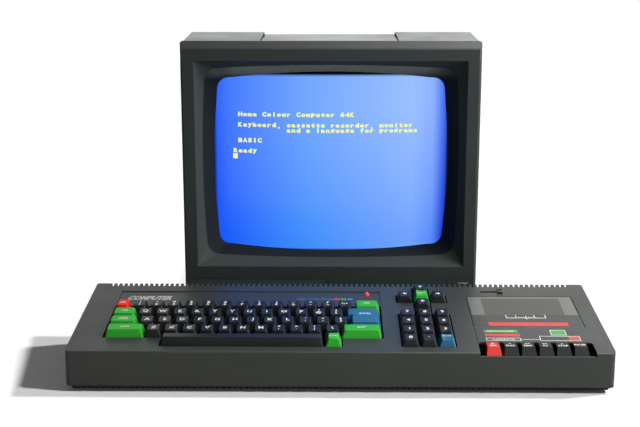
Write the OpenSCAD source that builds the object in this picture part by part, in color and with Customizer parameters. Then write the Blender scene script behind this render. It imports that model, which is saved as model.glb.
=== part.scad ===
// Vintage home computer: a keyboard console with a built-in cassette
// recorder, and the colour monitor that powers it and stands behind it.
// Units are millimetres, +X is the user's right, +Y runs from the console
// front to the back of the monitor, and Z is 0 on the desk.

/* [Console] */
// Width of the console case
console_w = 570; // [560:1:690]
// Depth of the console case
console_d = 169; // [166:1:210]
// Height of the case's top edge at the front
front_h = 44; // [40:0.5:55]
// Height of the case's top edge at the back
rear_h = 72; // [68:0.5:90]
// Wall of the moulded console case
case_wall = 2.5; // [2:0.1:3.5]
// Rounding of the long edges of the console
edge_r = 2; // [1:0.5:3]
// Rounding of the vertical corners of the console
corner_r = 5; // [3:0.5:10]
// Height of the joint between the case and the base
case_bottom = 6.5; // [5.5:0.5:9]
// Height of the rubber feet under the console
foot_h = 2.5; // [2:0.5:4]
// Spacing of the vent slots along the rear edge
vent_pitch = 6.05; // [5:0.05:12]

/* [Keyboard] */
// Spacing of the keys in both directions
key_pitch = 19.05; // [15.5:0.05:19.05]
// Gap between neighbouring key skirts
key_gap = 0.9; // [0.6:0.1:1.4]
// How much narrower a key's top is than its skirt, across
key_taper_x = 6; // [3:0.5:8]
// How much shorter a key's top is than its skirt, front to back
key_taper_s = 4.8; // [3:0.4:7]
// Travel of every key
key_travel = 4; // [3:0.5:5]
// Radius of the cylindrical dish in a key's top
dish_r = 24; // [18:1:40]
// Distance from the case's left side to the keyboard opening
keys_left_margin = 33; // [25:1:45]
// Slope distance from the front edge to the space-bar row's centre
first_row_s = 21.95; // [20:0.05:26]
// Width of a key stem
stem_w = 5; // [4:0.5:6]
// Clearance of a key stem in the guide plate, each side
stem_gap = 0.25; // [0.15:0.05:0.4]

/* [Cassette recorder] */
// Width of the cassette door
door_w = 119.1; // [117:0.5:140]
// Slope distance from the front edge to the door's hinge
hinge_s = 59.5; // [58:0.5:64]
// Length of the door from its hinge to its free edge
door_len = 76.3; // [75:0.5:85]
// Distance from the door's right side to the case's right side
door_right_margin = 19.7; // [19:0.5:24]
// Gap all round the cassette door
door_gap = 0.8; // [0.4:0.1:1]
// Radius of the door's hinge barrel
barrel_r = 1.8; // [1.6:0.1:2.2]
// Spacing of the recorder's piano keys
tape_key_pitch = 18.1; // [17:0.1:18.5]
// Width of a piano key at its foot
tape_key_w = 16.2; // [14:0.1:17]
// Distance from the front of the console to the piano keys' pivot rod
rod_y = 53; // [52:0.5:56]
// Height of the piano keys' pivot rod
rod_z = 33; // [32:0.5:35]
// Radius of the piano keys' pivot rod
rod_r = 2; // [1.5:0.1:2.5]
// Running clearance of shafts in their holes, on the radius
shaft_gap = 0.06; // [0.03:0.01:0.1]

/* [Monitor] */
// Width of the monitor's front frame
monitor_w = 352; // [340:1:430]
// Height of the front frame's top edge above the desk
monitor_top = 353.4; // [345:1:430]
// Height of the monitor's underside above the desk
monitor_bottom = 6; // [5:0.5:12]
// Depth of the monitor
monitor_d = 379; // [365:1:470]
// Distance from the monitor's front to the console's back
monitor_gap = 32; // [20:1:80]
// Sideways place of the monitor's centre line
monitor_x = -10; // [-60:1:60]
// Wall of the monitor's mouldings
shell_wall = 3; // [2.5:0.1:4]
// Depth of the front frame's rim
bezel_d = 14; // [12:0.5:20]
// Width of the opening in the front frame
mouth_w = 320.8; // [318:0.2:326]
// Height of the opening in the front frame
mouth_h = 246.7; // [244:0.1:252]
// Height of the lower edge of the front frame's opening
mouth_bottom = 84; // [80:0.5:90]
// Width of the visible screen
screen_w = 286; // [280:0.5:290]
// Height of the visible screen
screen_h = 217; // [212:0.5:222]
// Radius of the curved screen glass
glass_r = 620; // [520:10:900]
// Depth of the middle of the screen behind the front frame
glass_depth = 38; // [36:0.5:46]
// Radius of the picture tube's neck
neck_r = 14.6; // [14:0.1:15.5]

/* [Hidden] */
$fn = 48;
eps = 0.01;
fit_gap = 0.3;
total_d = console_d + monitor_gap + monitor_d;
front_y = -total_d / 2;
monitor_y = front_y + console_d + monitor_gap;
slope = atan((rear_h - front_h) / console_d);
slope_len = console_d / cos(slope);

// Keyboard layout: centres are (x, s) on the sloping deck. Widths and
// offsets that belong to the layout are in units of the key pitch.
skirt = key_pitch - key_gap;
delete_units = 1.517;
space_start_units = 0.552;
space_end_units = 0.505;
well_gap = 0.9;
cap_wall = 1.3;
key_zone_x0 = -console_w / 2 + keys_left_margin;
key_left = key_zone_x0 + 2.5;
row_s = [for (i = [0:4]) first_row_s + i * key_pitch];
row_h = [8, 8.3, 8.6, 8.9, 9.5];
row_count = [0, 11, 12, 12, 13];
row_start = [0, 2.184, 1.654, 1.407, 0.909];
function row_x(row, i) = key_left + skirt / 2 + (row_start[row] + i) * key_pitch + key_gap;
function row_end(row) = row_x(row, row_count[row] - 1) + skirt / 2;
function row_begin(row) = row_x(row, 0) - skirt / 2 - key_gap;
key_right = row_end(4) + key_gap + delete_units * key_pitch;
key_zone_x1 = key_right + 2;
key_zone_s0 = row_s[1] - skirt / 2 - well_gap;
key_zone_s1 = row_s[4] + skirt / 2 + well_gap + 0.4;
space_x0 = row_x(1, 0) + space_start_units * key_pitch;
space_x1 = row_x(1, 10) - space_end_units * key_pitch;
space_d = 0.86 * skirt;
control_w = 17;
control_x = space_x1 + 2.6 + control_w / 2;
notch_x0 = space_x0 - 1.8;
notch_x1 = control_x + control_w / 2 + 1.2;
notch_s0 = row_s[0] - skirt / 2 - 1;
strip_s0 = key_zone_s1 + 2;
strip_s1 = strip_s0 + 38;
strip_depth = 1;
lamp_x = key_zone_x1 - 15;
lamp_s = strip_s1 - 7.5;
lamp_r = 2.5;

// Number pad and cursor keys.
pad_x = [for (i = [0:2]) key_zone_x1 + 27.6 + i * key_pitch];
pad_s = [for (i = [0:3]) first_row_s + 0.25 + i * key_pitch];
pad_h = [7.5, 8, 8.6, 9.4];
pad_edge = skirt / 2 + 1;
cursor_s = first_row_s + 106.45;
cursor_h = 8;

// Everything under the deck hangs at these depths.
plate_t = 2.5;
guide_top = -8;
guide_bottom = guide_top - plate_t;
contact_top = guide_bottom - 9;
contact_t = 1.6;
skirt_bottom = -2;
stem_bottom = contact_top + key_travel + 0.8;
guide_x0 = key_zone_x0 - 12;
guide_x1 = pad_x[2] + pad_edge + 6;
guide_s0 = notch_s0 - 3;
guide_s1 = cursor_s + key_pitch + skirt / 2 + 1;
post_r = 3.2;
post_x = [key_zone_x0 - 6, key_zone_x1 + 7.5];
post_s = [40, 120];

// Cassette bay.
door_x1 = console_w / 2 - door_right_margin;
door_x0 = door_x1 - door_w;
door_mid = (door_x0 + door_x1) / 2;
door_s1 = hinge_s + door_len;
hinge_h = -barrel_r;
hinge_pin_r = 1.2;
bay_wall = 2;
bay_x0 = door_x0 - door_gap;
bay_x1 = door_x1 + door_gap;
bay_s0 = hinge_s - barrel_r - fit_gap;
bay_s1 = door_s1 + door_gap;
bay_bottom = -22.5;
window_s0 = door_s1 - 47.3;
window_t = 1.2;
view_x0 = door_x0 + 13.8;
view_x1 = door_x1 - 15.1;
view_s0 = window_s0 + 1;
view_s1 = window_s0 + 37;
cassette_w = 100.4;
cassette_h = 63.8;
cassette_t = 12;
pocket_gap = 0.6;
pocket_s0 = hinge_s + 8;
pocket_s1 = pocket_s0 + cassette_h + pocket_gap;
pocket_top = -case_wall - 0.6;
pocket_bottom = pocket_top - cassette_t - pocket_gap;
hub_gap = 42.5;
spindle_s = pocket_s0 + 34.5;
spindle_r = 1.5;
capstan_x = door_mid + 24;
capstan_s = pocket_s0 + 7.5;
capstan_r = 1;
chassis_top = bay_bottom - 0.3;
chassis_t = 1.2;
chassis_bottom = chassis_top - chassis_t;
flywheel_r = 22;
flywheel_h = -34;
motor_x = door_x0 + 19;
motor_s = 103;
motor_r = 14;
pulley_r = 5;
sledge_travel = 3;
roller_r = 6;

// Piano keys of the recorder.
tape_slot_x0 = door_x0 - 1;
tape_slot_x1 = tape_slot_x0 + 6 * tape_key_pitch + 11.4;
tape_slot_s1 = 23.7;
tape_lip_h = -4.5;
tape_key_x0 = door_x0 + 14.1;
crease_w = 0.7;
crease_d = 0.5;
function tape_key_x(i) = tape_key_x0 + i * tape_key_pitch;

// Tape counter.
counter_x0 = door_x0 + 17.5;
counter_s = door_s1 + 12.7;
counter_w = 18.3;
digit_w = 5;
digit_r = 5.5;
digit_h = -case_wall - 1 - digit_r;
reset_x = counter_x0 + counter_w + 4.2;
reset_w = 6.1;
reset_len = 8.9;
reset_gap = 0.25;

// Side controls of the console.
wheel_r = 14;
wheel_t = 5;
wheel_x = console_w / 2 - 0.5 - wheel_r;
wheel_y = 88;
wheel_z = 24;
wheel_pin_r = 2;
slider_y = 40;
slider_travel = 6;
slider_z = 30;

// Base tray: its floor is set in from the case, and its rim stands inside it.
base_inset = 4.5;
tray_t = 2.5;
tray_top = foot_h + tray_t;
rim_inset = case_wall + fit_gap;
rim_t = 2.2;
rim_top = case_bottom + 5;
rib_d = 1.5;

// Screws join the case and the base here; y is from the console's front.
screw_x = [-console_w / 2 + 9, guide_x1 + 6.5, console_w / 2 - 9];
screw_y = [12, console_d - 9];
boss_r = 3.5;
screw_r = 1.4;

// Sockets along the console's back, as distances from the console's centre.
jack_x = -228;
din_x = -200;
disc_x = -120;
printer_x = -20;
stick_x = 60;
stereo_x = door_x0 + 31.8;
board_z = 12;
board_t = 1.6;
board_x0 = -215;
board_x1 = 130;
board_y0 = 58;
board_back = 7;
card_w = 48;
tongue_d = 24;
board_post_x = [board_x0 + 10, -60, board_x1 - 25];
board_post_y = [board_y0 + 8, 150];
speaker_x = -243;
speaker_y = 125;
edge_z = board_z + board_t / 2;
socket_z = board_z + board_t + 8.6;

// Picture tube.
mouth_mid_z = mouth_bottom + mouth_h / 2;
screen_z = mouth_mid_z - 4.6;
lip_w = mouth_w - 12.8;
lip_h = mouth_h - 13;
lip_depth = 25;
lip_r = 16;
lip_end = 28;
lip_close = 6;
funnel_end = 20;
screen_bow = 5;
screen_r = 13;
glass_r_corner = 22;
glass_w = screen_w + 16;
glass_h = screen_h + 16;
panel_depth = 82;
funnel_depth = 218;
neck_depth = 318;
band_t = 2;
lug_x = glass_w / 2 + 9;
lug_z = glass_h / 2 + 4;
lug_depth = 72;

// Monitor shell.
bevel_h = 10;
bevel_d = 4.5;
frame_edge = 3;
monitor_board_z = 28;
roof_z = monitor_top + 7.6;
roof_depth = 103;
tail_top = 300;
tail_w = 250;
roof_groove = [-82.7, 79.4];
power_x = monitor_w / 2 - 24;
power_z = 50;
panel_x = monitor_w / 2 - 35.6;
panel_z0 = 24;
panel_z1 = 70.4;
line_w = 0.8;
line_d = 0.6;
power_w = 17.8;
power_h = 11.8;
lead_x = [40, 75];
lead_z = 34;
tail_lead_x = -60;
tail_lead_z = 70;
knob_r = 11;
shell_half = monitor_w / 2 - 2;
knob_x = shell_half - knob_r + 2.5;
knob_y = 40;
knob_z = 70;
knob_t = 5;
knob_slot = 2 * sqrt(pow(knob_r, 2) - pow(shell_half - shell_wall - knob_x, 2)) + 2;

abs_grey = "#4a4b4a";
abs_black = "#232a2a";
key_black = "#26282a";
key_green = "#38a544";
key_red = "#e0281e";
key_blue = "#3a6fb0";
steel = "#a9adb0";
board_green = "#2f5b3a";

// ---------- shared shapes ----------

// Puts children in the deck's frame: x across, y up the slope, z out of it.
module on_deck() {
    translate([0, front_y, front_h])
        rotate([slope, 0, 0])
            children();
}

// A block in the deck's frame between two corners (x, s, h).
module deck_block(low, high) {
    on_deck()
        translate(low)
            cube(high - low);
}

// A vertical post in the deck's frame.
module deck_post(x, s, h0, h1, r) {
    on_deck()
        translate([x, s, h0])
            cylinder(h = h1 - h0, r = r);
}

// Extrudes a y-z outline along X, centred on x = 0.
module along_x(w) {
    translate([-w / 2, 0, 0])
        rotate([90, 0, 90])
            linear_extrude(w)
                children();
}

// Extrudes an x-z outline along Y, from y = 0 backwards.
module along_y(d) {
    translate([0, d, 0])
        rotate([90, 0, 0])
            linear_extrude(d)
                children();
}

module rounded_rect(w, d, r) {
    offset(r = r)
        square([w - 2 * r, d - 2 * r], center = true);
}

// ---------- console case ----------

// Side outline of the console, drawn past its open underside.
module console_side(inset) {
    offset(r = max(edge_r - inset, 0.5), $fn = 24)
        offset(delta = -inset - max(edge_r - inset, 0.5))
            polygon([[0, -40], [0, front_h], [console_d, rear_h], [console_d, -40]]);
}

module console_block(inset) {
    translate([0, front_y, 0])
        intersection() {
            along_x(console_w - 2 * inset)
                console_side(inset);
            translate([0, console_d / 2, -60])
                linear_extrude(200)
                    rounded_rect(console_w - 2 * inset, console_d - 2 * inset,
                        corner_r - inset * 0.8, $fn = 24);
        }
}

module keyboard_window() {
    translate([key_zone_x0, key_zone_s0])
        square([key_zone_x1 - key_zone_x0, key_zone_s1 - key_zone_s0]);
    translate([notch_x0, notch_s0])
        square([notch_x1 - notch_x0, key_zone_s0 - notch_s0 + eps]);
}

module keypad_window() {
    translate([pad_x[0] - pad_edge, pad_s[0] - pad_edge])
        square([pad_x[2] - pad_x[0] + 2 * pad_edge, pad_s[3] - pad_s[0] + 2 * pad_edge]);
    translate([pad_x[1] - pad_edge, pad_s[3]])
        square([2 * pad_edge, cursor_s + key_pitch + pad_edge - pad_s[3]]);
    translate([pad_x[0] - pad_edge, cursor_s - pad_edge])
        square([pad_x[2] - pad_x[0] + 2 * pad_edge, 2 * pad_edge]);
}

module tape_key_slot() {
    translate([tape_slot_x0, -9])
        offset(r = 4)
            offset(delta = -4)
                square([tape_slot_x1 - tape_slot_x0, tape_slot_s1 + 9]);
}

module rear_vents() {
    slot_w = vent_pitch / 2;
    count = floor((console_w - 34) / vent_pitch);
    for (i = [0:count])
        deck_block([(i - count / 2) * vent_pitch - slot_w / 2, slope_len - 9, -5.5],
            [(i - count / 2) * vent_pitch + slot_w / 2, slope_len + 8, 4]);
}

module rear_windows() {
    back_y = front_y + console_d - 2 * case_wall;
    for (x = [disc_x, printer_x])
        translate([x - 32, back_y, edge_z - 5])
            cube([64, 4 * case_wall, 14]);
    translate([stick_x - 16, back_y, socket_z - 7.5])
        cube([32, 4 * case_wall, 15]);
    for (p = [[jack_x, 5.5], [din_x, 8.5], [stereo_x, 4.5]])
        translate([p[0], back_y, socket_z])
            rotate([-90, 0, 0])
                cylinder(h = 4 * case_wall, r = p[1]);
}

module screw_places() {
    for (x = screw_x, y = screw_y)
        translate([x, front_y + y, 0])
            children();
}

module console_top_case() {
    color(abs_grey)
        difference() {
            union() {
                difference() {
                    console_block(0);
                    console_block(case_wall);
                }
                intersection() {
                    console_block(0);
                    union() {
                        screw_places()
                            translate([0, 0, case_bottom + 1])
                                cylinder(h = 100, r = boss_r);
                        for (x = post_x, s = post_s)
                            deck_post(x, s, guide_top, 0, post_r);
                        deck_block([bay_x0 - bay_wall, bay_s0, bay_bottom],
                            [bay_x1 + bay_wall, bay_s1 + bay_wall, 0]);
                    }
                }
            }
            translate([-console_w, front_y - 1, -60])
                cube([2 * console_w, console_d + 2, 60 + case_bottom]);
            on_deck()
                translate([0, 0, -12])
                    linear_extrude(20) {
                        keyboard_window();
                        keypad_window();
                    }
            deck_block([key_zone_x0, strip_s0, -strip_depth], [key_zone_x1, strip_s1, 5]);
            deck_block([bay_x0, bay_s0 - 12, -40], [bay_x1, bay_s1, -case_wall - eps]);
            deck_block([bay_x0, bay_s0, -40], [bay_x1, bay_s1, 10]);
            deck_block([bay_x0, tape_slot_s1 - 1, -crease_d], [bay_x0 + crease_w, bay_s0 + 1, 5]);
            on_deck()
                translate([0, 0, tape_lip_h])
                    linear_extrude(30)
                        tape_key_slot();
            on_deck()
                translate([bay_x0 - 1.5, hinge_s, hinge_h])
                    rotate([0, 90, 0])
                        cylinder(h = bay_x1 - bay_x0 + 3, r = hinge_pin_r + shaft_gap);
            deck_block([counter_x0, counter_s - 2, -10], [counter_x0 + counter_w, counter_s + 2, 5]);
            deck_block([reset_x - reset_w / 2 - reset_gap, counter_s - reset_len / 2 - reset_gap, -10],
                [reset_x + reset_w / 2 + reset_gap, counter_s + reset_len / 2 + reset_gap, 5]);
            deck_post(lamp_x, lamp_s, -10, 5, lamp_r + 0.1);
            rear_vents();
            rear_windows();
            translate([console_w / 2 - 2 * case_wall, front_y + wheel_y - 9, wheel_z - 1])
                cube([4 * case_wall, 18, wheel_t + 2]);
            translate([console_w / 2 - 2 * case_wall, front_y + slider_y - 1, slider_z - 1])
                cube([4 * case_wall, 8 + slider_travel, 8]);
            screw_places()
                cylinder(h = 26, r = screw_r + shaft_gap);
        }
}

// ---------- console base ----------

module base_outline(inset) {
    translate([0, console_d / 2])
        rounded_rect(console_w - 2 * inset, console_d - 2 * inset, corner_r - 1, $fn = 24);
}

module board_posts(z0) {
    for (x = board_post_x, y = board_post_y)
        translate([x, front_y + y, z0])
            children();
}

// Ribbed front edge of the tray, in step with the vents at the back.
module front_notches() {
    notch_w = vent_pitch / 2;
    count = floor((console_w - 40) / vent_pitch);
    for (i = [0:count])
        translate([(i - count / 2) * vent_pitch - notch_w / 2, front_y + base_inset - 1, 0])
            cube([notch_w, 1 + rib_d, tray_top - 0.6]);
}

module console_base() {
    color("#303231")
        difference() {
            union() {
                translate([0, front_y, foot_h])
                    linear_extrude(tray_t)
                        base_outline(base_inset);
                difference() {
                    translate([0, front_y, tray_top - eps])
                        linear_extrude(rim_top - tray_top)
                            base_outline(rim_inset);
                    translate([0, front_y, tray_top - 1])
                        linear_extrude(30)
                            base_outline(rim_inset + rim_t);
                    for (x = screw_x, y = screw_y)
                        translate([x, front_y + y, case_bottom + 0.6])
                            cylinder(h = 30, r = boss_r + 0.4);
                }
                screw_places()
                    translate([0, 0, foot_h])
                        cylinder(h = case_bottom + 0.7 - foot_h, r = boss_r);
                board_posts(foot_h)
                    cylinder(h = board_z - foot_h, r = 3);
                // Post and pin that carry the volume wheel.
                translate([wheel_x, front_y + wheel_y, foot_h]) {
                    cylinder(h = wheel_z - foot_h - fit_gap, r = 2 * wheel_pin_r);
                    cylinder(h = wheel_z + wheel_t - foot_h + 1, r = wheel_pin_r);
                }
                // Bracket behind the power slider.
                translate([console_w / 2 - 13, front_y + slider_y - 7, foot_h])
                    cube([4, 22 + slider_travel, slider_z + 10 - foot_h]);
                // Pads that carry the tape chassis.
                for (x = [bay_x0 + 5, bay_x1 - 5])
                    intersection() {
                        translate([x - 3, front_y + 118, foot_h])
                            cube([6, 8, 90]);
                        deck_block([x - 20, 0, -200], [x + 20, 300, chassis_bottom]);
                    }
            }
            // Cooling and loudspeaker slots.
            for (i = [0:11])
                translate([-170 + i * 14, front_y + 60, 0])
                    cube([4, 80, tray_top + 0.5]);
            for (i = [0:6])
                translate([speaker_x - 19 + i * 6.5, front_y + speaker_y - 17, 0])
                    cube([3, 34, tray_top + 0.5]);
            front_notches();
            screw_places() {
                cylinder(h = 30, r = screw_r + 0.3);
                translate([0, 0, foot_h - eps])
                    cylinder(h = 2.1, r = 3.2);
            }
        }
}

module case_screws() {
    color(steel)
        screw_places() {
            translate([0, 0, foot_h + 0.1]) {
                difference() {
                    cylinder(h = 1.9, r = 2.9);
                    translate([-2, -0.35, -eps])
                        cube([4, 0.7, 0.8]);
                    translate([-0.35, -2, -eps])
                        cube([0.7, 4, 0.8]);
                }
                translate([0, 0, 1.9 - eps])
                    cylinder(h = 18, r = screw_r);
            }
        }
}

module rubber_feet() {
    color("#151515") {
        for (x = [-console_w / 2 + 32, console_w / 2 - 32], y = [24, console_d - 24])
            translate([x, front_y + y, 0])
                cylinder(h = foot_h, r = 8);
        for (x = [-110, 110], y = [36, monitor_d - 95])
            translate([monitor_x + x, monitor_y + y, 0])
                cylinder(h = monitor_bottom, r = 10);
    }
}

// ---------- keyboard ----------

// Frustum with a rectangular foot (w, d) and a smaller top, about its centre.
module frustum(w, d, h, taper_w, taper_d) {
    intersection() {
        along_y_centred(d, w, h, taper_w);
        rotate([0, 0, 90])
            along_y_centred(w, d, h, taper_d);
    }
}

module along_y_centred(d, w, h, taper) {
    translate([0, -d / 2, 0])
        along_y(d)
            polygon([[-w / 2, 0], [w / 2, 0], [(w - taper) / 2, h], [-(w - taper) / 2, h]]);
}

// Key cap with its stem, centred at (x, s); dished across its top.
module key(x, s, w, d, h, dished = true) {
    tall = h - skirt_bottom;
    on_deck()
        translate([x, s, 0]) {
            difference() {
                translate([0, 0, skirt_bottom])
                    frustum(w, d, tall, key_taper_x, key_taper_s);
                translate([0, 0, skirt_bottom - eps])
                    frustum(w - 2 * cap_wall, d - 2 * cap_wall, tall - 2 * cap_wall, key_taper_x,
                        key_taper_s);
                if (dished)
                    translate([0, 0, h + dish_r - 0.8])
                        rotate([90, 0, 0])
                            cylinder(h = 60, r = dish_r, center = true, $fn = 96);
            }
            translate([-stem_w / 2, -stem_w / 2, stem_bottom])
                cube([stem_w, stem_w, h - 2 - stem_bottom]);
        }
}

// Key that fills the space between two x positions.
module wide_key(x0, x1, row) {
    key((x0 + x1) / 2, row_s[row], x1 - x0, skirt, row_h[row], dished = false);
}

module key_row(row) {
    color(key_black)
        for (i = [0:row_count[row] - 1])
            key(row_x(row, i), row_s[row], skirt, skirt, row_h[row]);
}

module number_row_keys() { key_row(4); }
module upper_row_keys() { key_row(3); }
module home_row_keys() { key_row(2); }
module lower_row_keys() { key_row(1); }

module escape_key() {
    color(key_red) wide_key(key_left, row_begin(4), 4);
}
module tab_key() {
    color(key_green) wide_key(key_left, row_begin(3), 3);
}
module caps_lock_key() {
    color(key_green) wide_key(key_left, row_begin(2), 2);
}
module left_shift_key() {
    color(key_green) wide_key(key_left, row_begin(1), 1);
}
module delete_key() {
    color(key_green) wide_key(row_end(4) + key_gap, key_right, 4);
}
module right_shift_key() {
    color(key_green) wide_key(row_end(1) + key_gap, key_right, 1);
}

module enter_key() {
    upper_x0 = row_end(3) + key_gap;
    lower_x0 = row_end(2) + key_gap;
    h = row_h[2];
    tall = h - skirt_bottom;
    deep = key_pitch + skirt;
    mid_s = (row_s[2] + row_s[3]) / 2;
    stem_x = (lower_x0 + key_right) / 2;
    color(key_blue) {
        on_deck() {
            difference() {
                union() {
                    translate([(lower_x0 + key_right) / 2, mid_s, skirt_bottom])
                        frustum(key_right - lower_x0, deep, tall, key_taper_x, key_taper_s);
                    translate([(upper_x0 + key_right) / 2, row_s[3], skirt_bottom])
                        frustum(key_right - upper_x0, skirt, tall, key_taper_x, key_taper_s);
                }
                translate([(lower_x0 + key_right) / 2, mid_s, skirt_bottom - eps])
                    frustum(key_right - lower_x0 - 3, deep - 3, tall - 2.6, key_taper_x, key_taper_s);
            }
            translate([stem_x - stem_w / 2, mid_s - stem_w / 2, stem_bottom])
                cube([stem_w, stem_w, h - 2 - stem_bottom]);
        }
    }
}

module control_key() {
    color(key_green)
        key(control_x, row_s[0], control_w, skirt, row_h[0], dished = false);
}

module space_bar() {
    w = space_x1 - space_x0;
    mid = (space_x0 + space_x1) / 2;
    color(key_black)
        on_deck()
            translate([mid, row_s[0], 0]) {
                difference() {
                    translate([0, 0, skirt_bottom])
                        frustum(w, space_d, row_h[0] - skirt_bottom, 4, space_d * 0.45);
                    translate([0, 0, skirt_bottom - eps])
                        frustum(w - 2 * cap_wall, space_d - 2 * cap_wall,
                            row_h[0] - skirt_bottom - 2 * cap_wall, 4, space_d * 0.45);
                }
                for (x = [-w * 0.3, 0, w * 0.3])
                    translate([x - stem_w / 2, -stem_w / 2, stem_bottom])
                        cube([stem_w, stem_w, row_h[0] - 2 - stem_bottom]);
            }
}

module copy_key() {
    color(key_green) key(pad_x[1], cursor_s, skirt, skirt, cursor_h + 0.8);
}

function cursor_places() = [
    [pad_x[1], cursor_s + key_pitch],
    [pad_x[1], cursor_s - key_pitch],
    [pad_x[0], cursor_s],
    [pad_x[2], cursor_s]];

module cursor_keys() {
    color(key_black)
        for (p = cursor_places())
            key(p[0], p[1], skirt, skirt, cursor_h);
}

module keypad_keys() {
    color(key_black)
        for (col = [0:2], row = [0:3])
            if (!(col == 2 && row == 0))
                key(pad_x[col], pad_s[row], skirt, skirt, pad_h[row]);
}

module keypad_enter_key() {
    color(key_blue) key(pad_x[2], pad_s[0], skirt, skirt, pad_h[0]);
}

// Every stem that passes through the guide plate, as (x, s).
function wide_mid(x0, x1, row) = [(x0 + x1) / 2, row_s[row]];
function space_mid() = (space_x0 + space_x1) / 2;
function stem_places() = concat(
    [for (row = [1:4], i = [0:12]) if (i < row_count[row]) [row_x(row, i), row_s[row]]],
    [for (row = [1:4]) wide_mid(key_left, row_begin(row), row)],
    [for (row = [1, 4]) wide_mid(row_end(row) + key_gap, key_right, row)],
    [[(row_end(2) + key_gap + key_right) / 2, (row_s[2] + row_s[3]) / 2]],
    [[control_x, row_s[0]]],
    [for (k = [-0.3, 0, 0.3]) [space_mid() + k * (space_x1 - space_x0), row_s[0]]],
    [for (x = pad_x, s = pad_s) [x, s]],
    [[pad_x[1], cursor_s]],
    cursor_places());

module key_guide_plate() {
    hole = stem_w + 2 * stem_gap;
    color("#1c1d1e")
        difference() {
            union() {
                deck_block([guide_x0, guide_s0, guide_bottom], [guide_x1, guide_s1, guide_top]);
                for (x = post_x, s = post_s)
                    deck_post(x, s, contact_top, guide_bottom + eps, post_r);
            }
            on_deck()
                translate([0, 0, guide_bottom - 1])
                    linear_extrude(plate_t + 2)
                        for (p = stem_places())
                            translate(p)
                                square(hole, center = true);
        }
}

module contact_board() {
    color("#b98a3a")
        deck_block([guide_x0, guide_s0, contact_top - contact_t], [guide_x1, guide_s1, contact_top]);
}

// ---------- console electronics ----------

module chip(x, y, w, d) {
    translate([x - w / 2, front_y + y - d / 2, board_z + board_t])
        difference() {
            cube([w, d, 4]);
            translate([0, d / 2, 2.5])
                cylinder(h = 2, r = 1.5);
        }
}

module main_circuit_board() {
    color(board_green)
        difference() {
            union() {
                translate([board_x0, front_y + board_y0, board_z])
                    cube([board_x1 - board_x0, console_d - board_y0 - board_back, board_t]);
                for (x = [disc_x, printer_x])
                    translate([x - card_w / 2, front_y + console_d - board_back - eps, board_z])
                        cube([card_w, board_back - 1, board_t]);
                // Tongue that carries the stereo jack.
                translate([board_x1 - eps, front_y + console_d - board_back - tongue_d, board_z])
                    cube([stereo_x + 8 - board_x1, tongue_d, board_t]);
                for (i = [0:7])
                    chip(-190 + i * 16, 90, 8, 22);
                chip(-10, 95, 15, 52);
                chip(20, 95, 15, 36);
                chip(50, 95, 15, 52);
                chip(80, 95, 12, 30);
            }
            board_posts(board_z - 1)
                cylinder(h = 4, r = 1.5);
            screw_places()
                cylinder(h = 30, r = boss_r + 1);
        }
}

module rear_sockets() {
    face_y = front_y + console_d - 1;
    jack_face_y = front_y + console_d - case_wall - 0.1;
    stand = board_z + board_t;
    color("#202122") {
        // DC inlet with its centre pin.
        translate([jack_x, face_y, socket_z])
            rotate([90, 0, 0])
                difference() {
                    cylinder(h = 14, r = 5);
                    translate([0, 0, -eps])
                        cylinder(h = 10, r = 2.8);
                }
        // Six-pin round monitor socket.
        translate([din_x, face_y, socket_z])
            rotate([90, 0, 0])
                difference() {
                    cylinder(h = 12, r = 8);
                    translate([0, 0, -eps])
                        difference() {
                            cylinder(h = 7, r = 6.8);
                            cylinder(h = 7, r = 5.6);
                        }
                    for (a = [0:5])
                        rotate([0, 0, a * 60])
                            translate([3.6, 0, -eps])
                                cylinder(h = 7, r = 0.8);
                }
        for (x = [jack_x, din_x])
            translate([x - 4, face_y - 12, stand])
                difference() {
                    cube([8, 5, socket_z - stand - 2]);
                    translate([4, -1, socket_z - stand])
                        rotate([-90, 0, 0])
                            cylinder(h = 8, r = x == din_x ? 7.9 : 4.9);
                }
        // Nine-pin joystick plug shell on its flange.
        difference() {
            union() {
                translate([stick_x - 15, face_y - 10, stand])
                    cube([30, 8, 2 * (socket_z - stand)]);
                translate([stick_x, face_y - 3, socket_z])
                    along_y(3)
                        rounded_rect(18, 9, 2);
            }
            translate([stick_x, face_y - 7, socket_z])
                along_y(10)
                    rounded_rect(16.6, 7.6, 1.6);
        }
        // Stereo jack on the board.
        difference() {
            union() {
                translate([stereo_x - 6, face_y - 17, stand])
                    cube([12, 14, 13]);
                translate([stereo_x, jack_face_y, socket_z])
                    rotate([90, 0, 0])
                        cylinder(h = 4, r = 4);
            }
            translate([stereo_x, jack_face_y + eps, socket_z])
                rotate([90, 0, 0])
                    cylinder(h = 13, r = 1.8);
        }
    }
}

module loudspeaker() {
    color("#3a3a3c")
        translate([speaker_x, front_y + speaker_y, tray_top])
            difference() {
                union() {
                    cylinder(h = 2, r = 28);
                    cylinder(h = 12, r1 = 26, r2 = 14);
                    cylinder(h = 20, r = 13);
                }
                translate([0, 0, -eps])
                    cylinder(h = 8, r1 = 24, r2 = 12);
            }
}

module power_lamp() {
    color("#ff2a2a")
        on_deck()
            translate([lamp_x, lamp_s, -6]) {
                cylinder(h = 6.4, r = lamp_r);
                translate([0, 0, 6.4])
                    sphere(r = lamp_r);
                cylinder(h = 1, r = lamp_r + 0.5);
            }
}

module knurled_wheel(r, t, bore) {
    difference() {
        linear_extrude(t)
            difference() {
                circle(r = r, $fn = 96);
                for (a = [0:7.5:352.5])
                    rotate(a)
                        translate([r + 0.25, 0])
                            circle(r = 0.7, $fn = 8);
            }
        translate([0, 0, -1])
            cylinder(h = t + 2, r = bore);
    }
}

module volume_wheel() {
    color("#1e1f20")
        translate([wheel_x, front_y + wheel_y, wheel_z])
            knurled_wheel(wheel_r, wheel_t, wheel_pin_r + shaft_gap);
}

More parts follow.
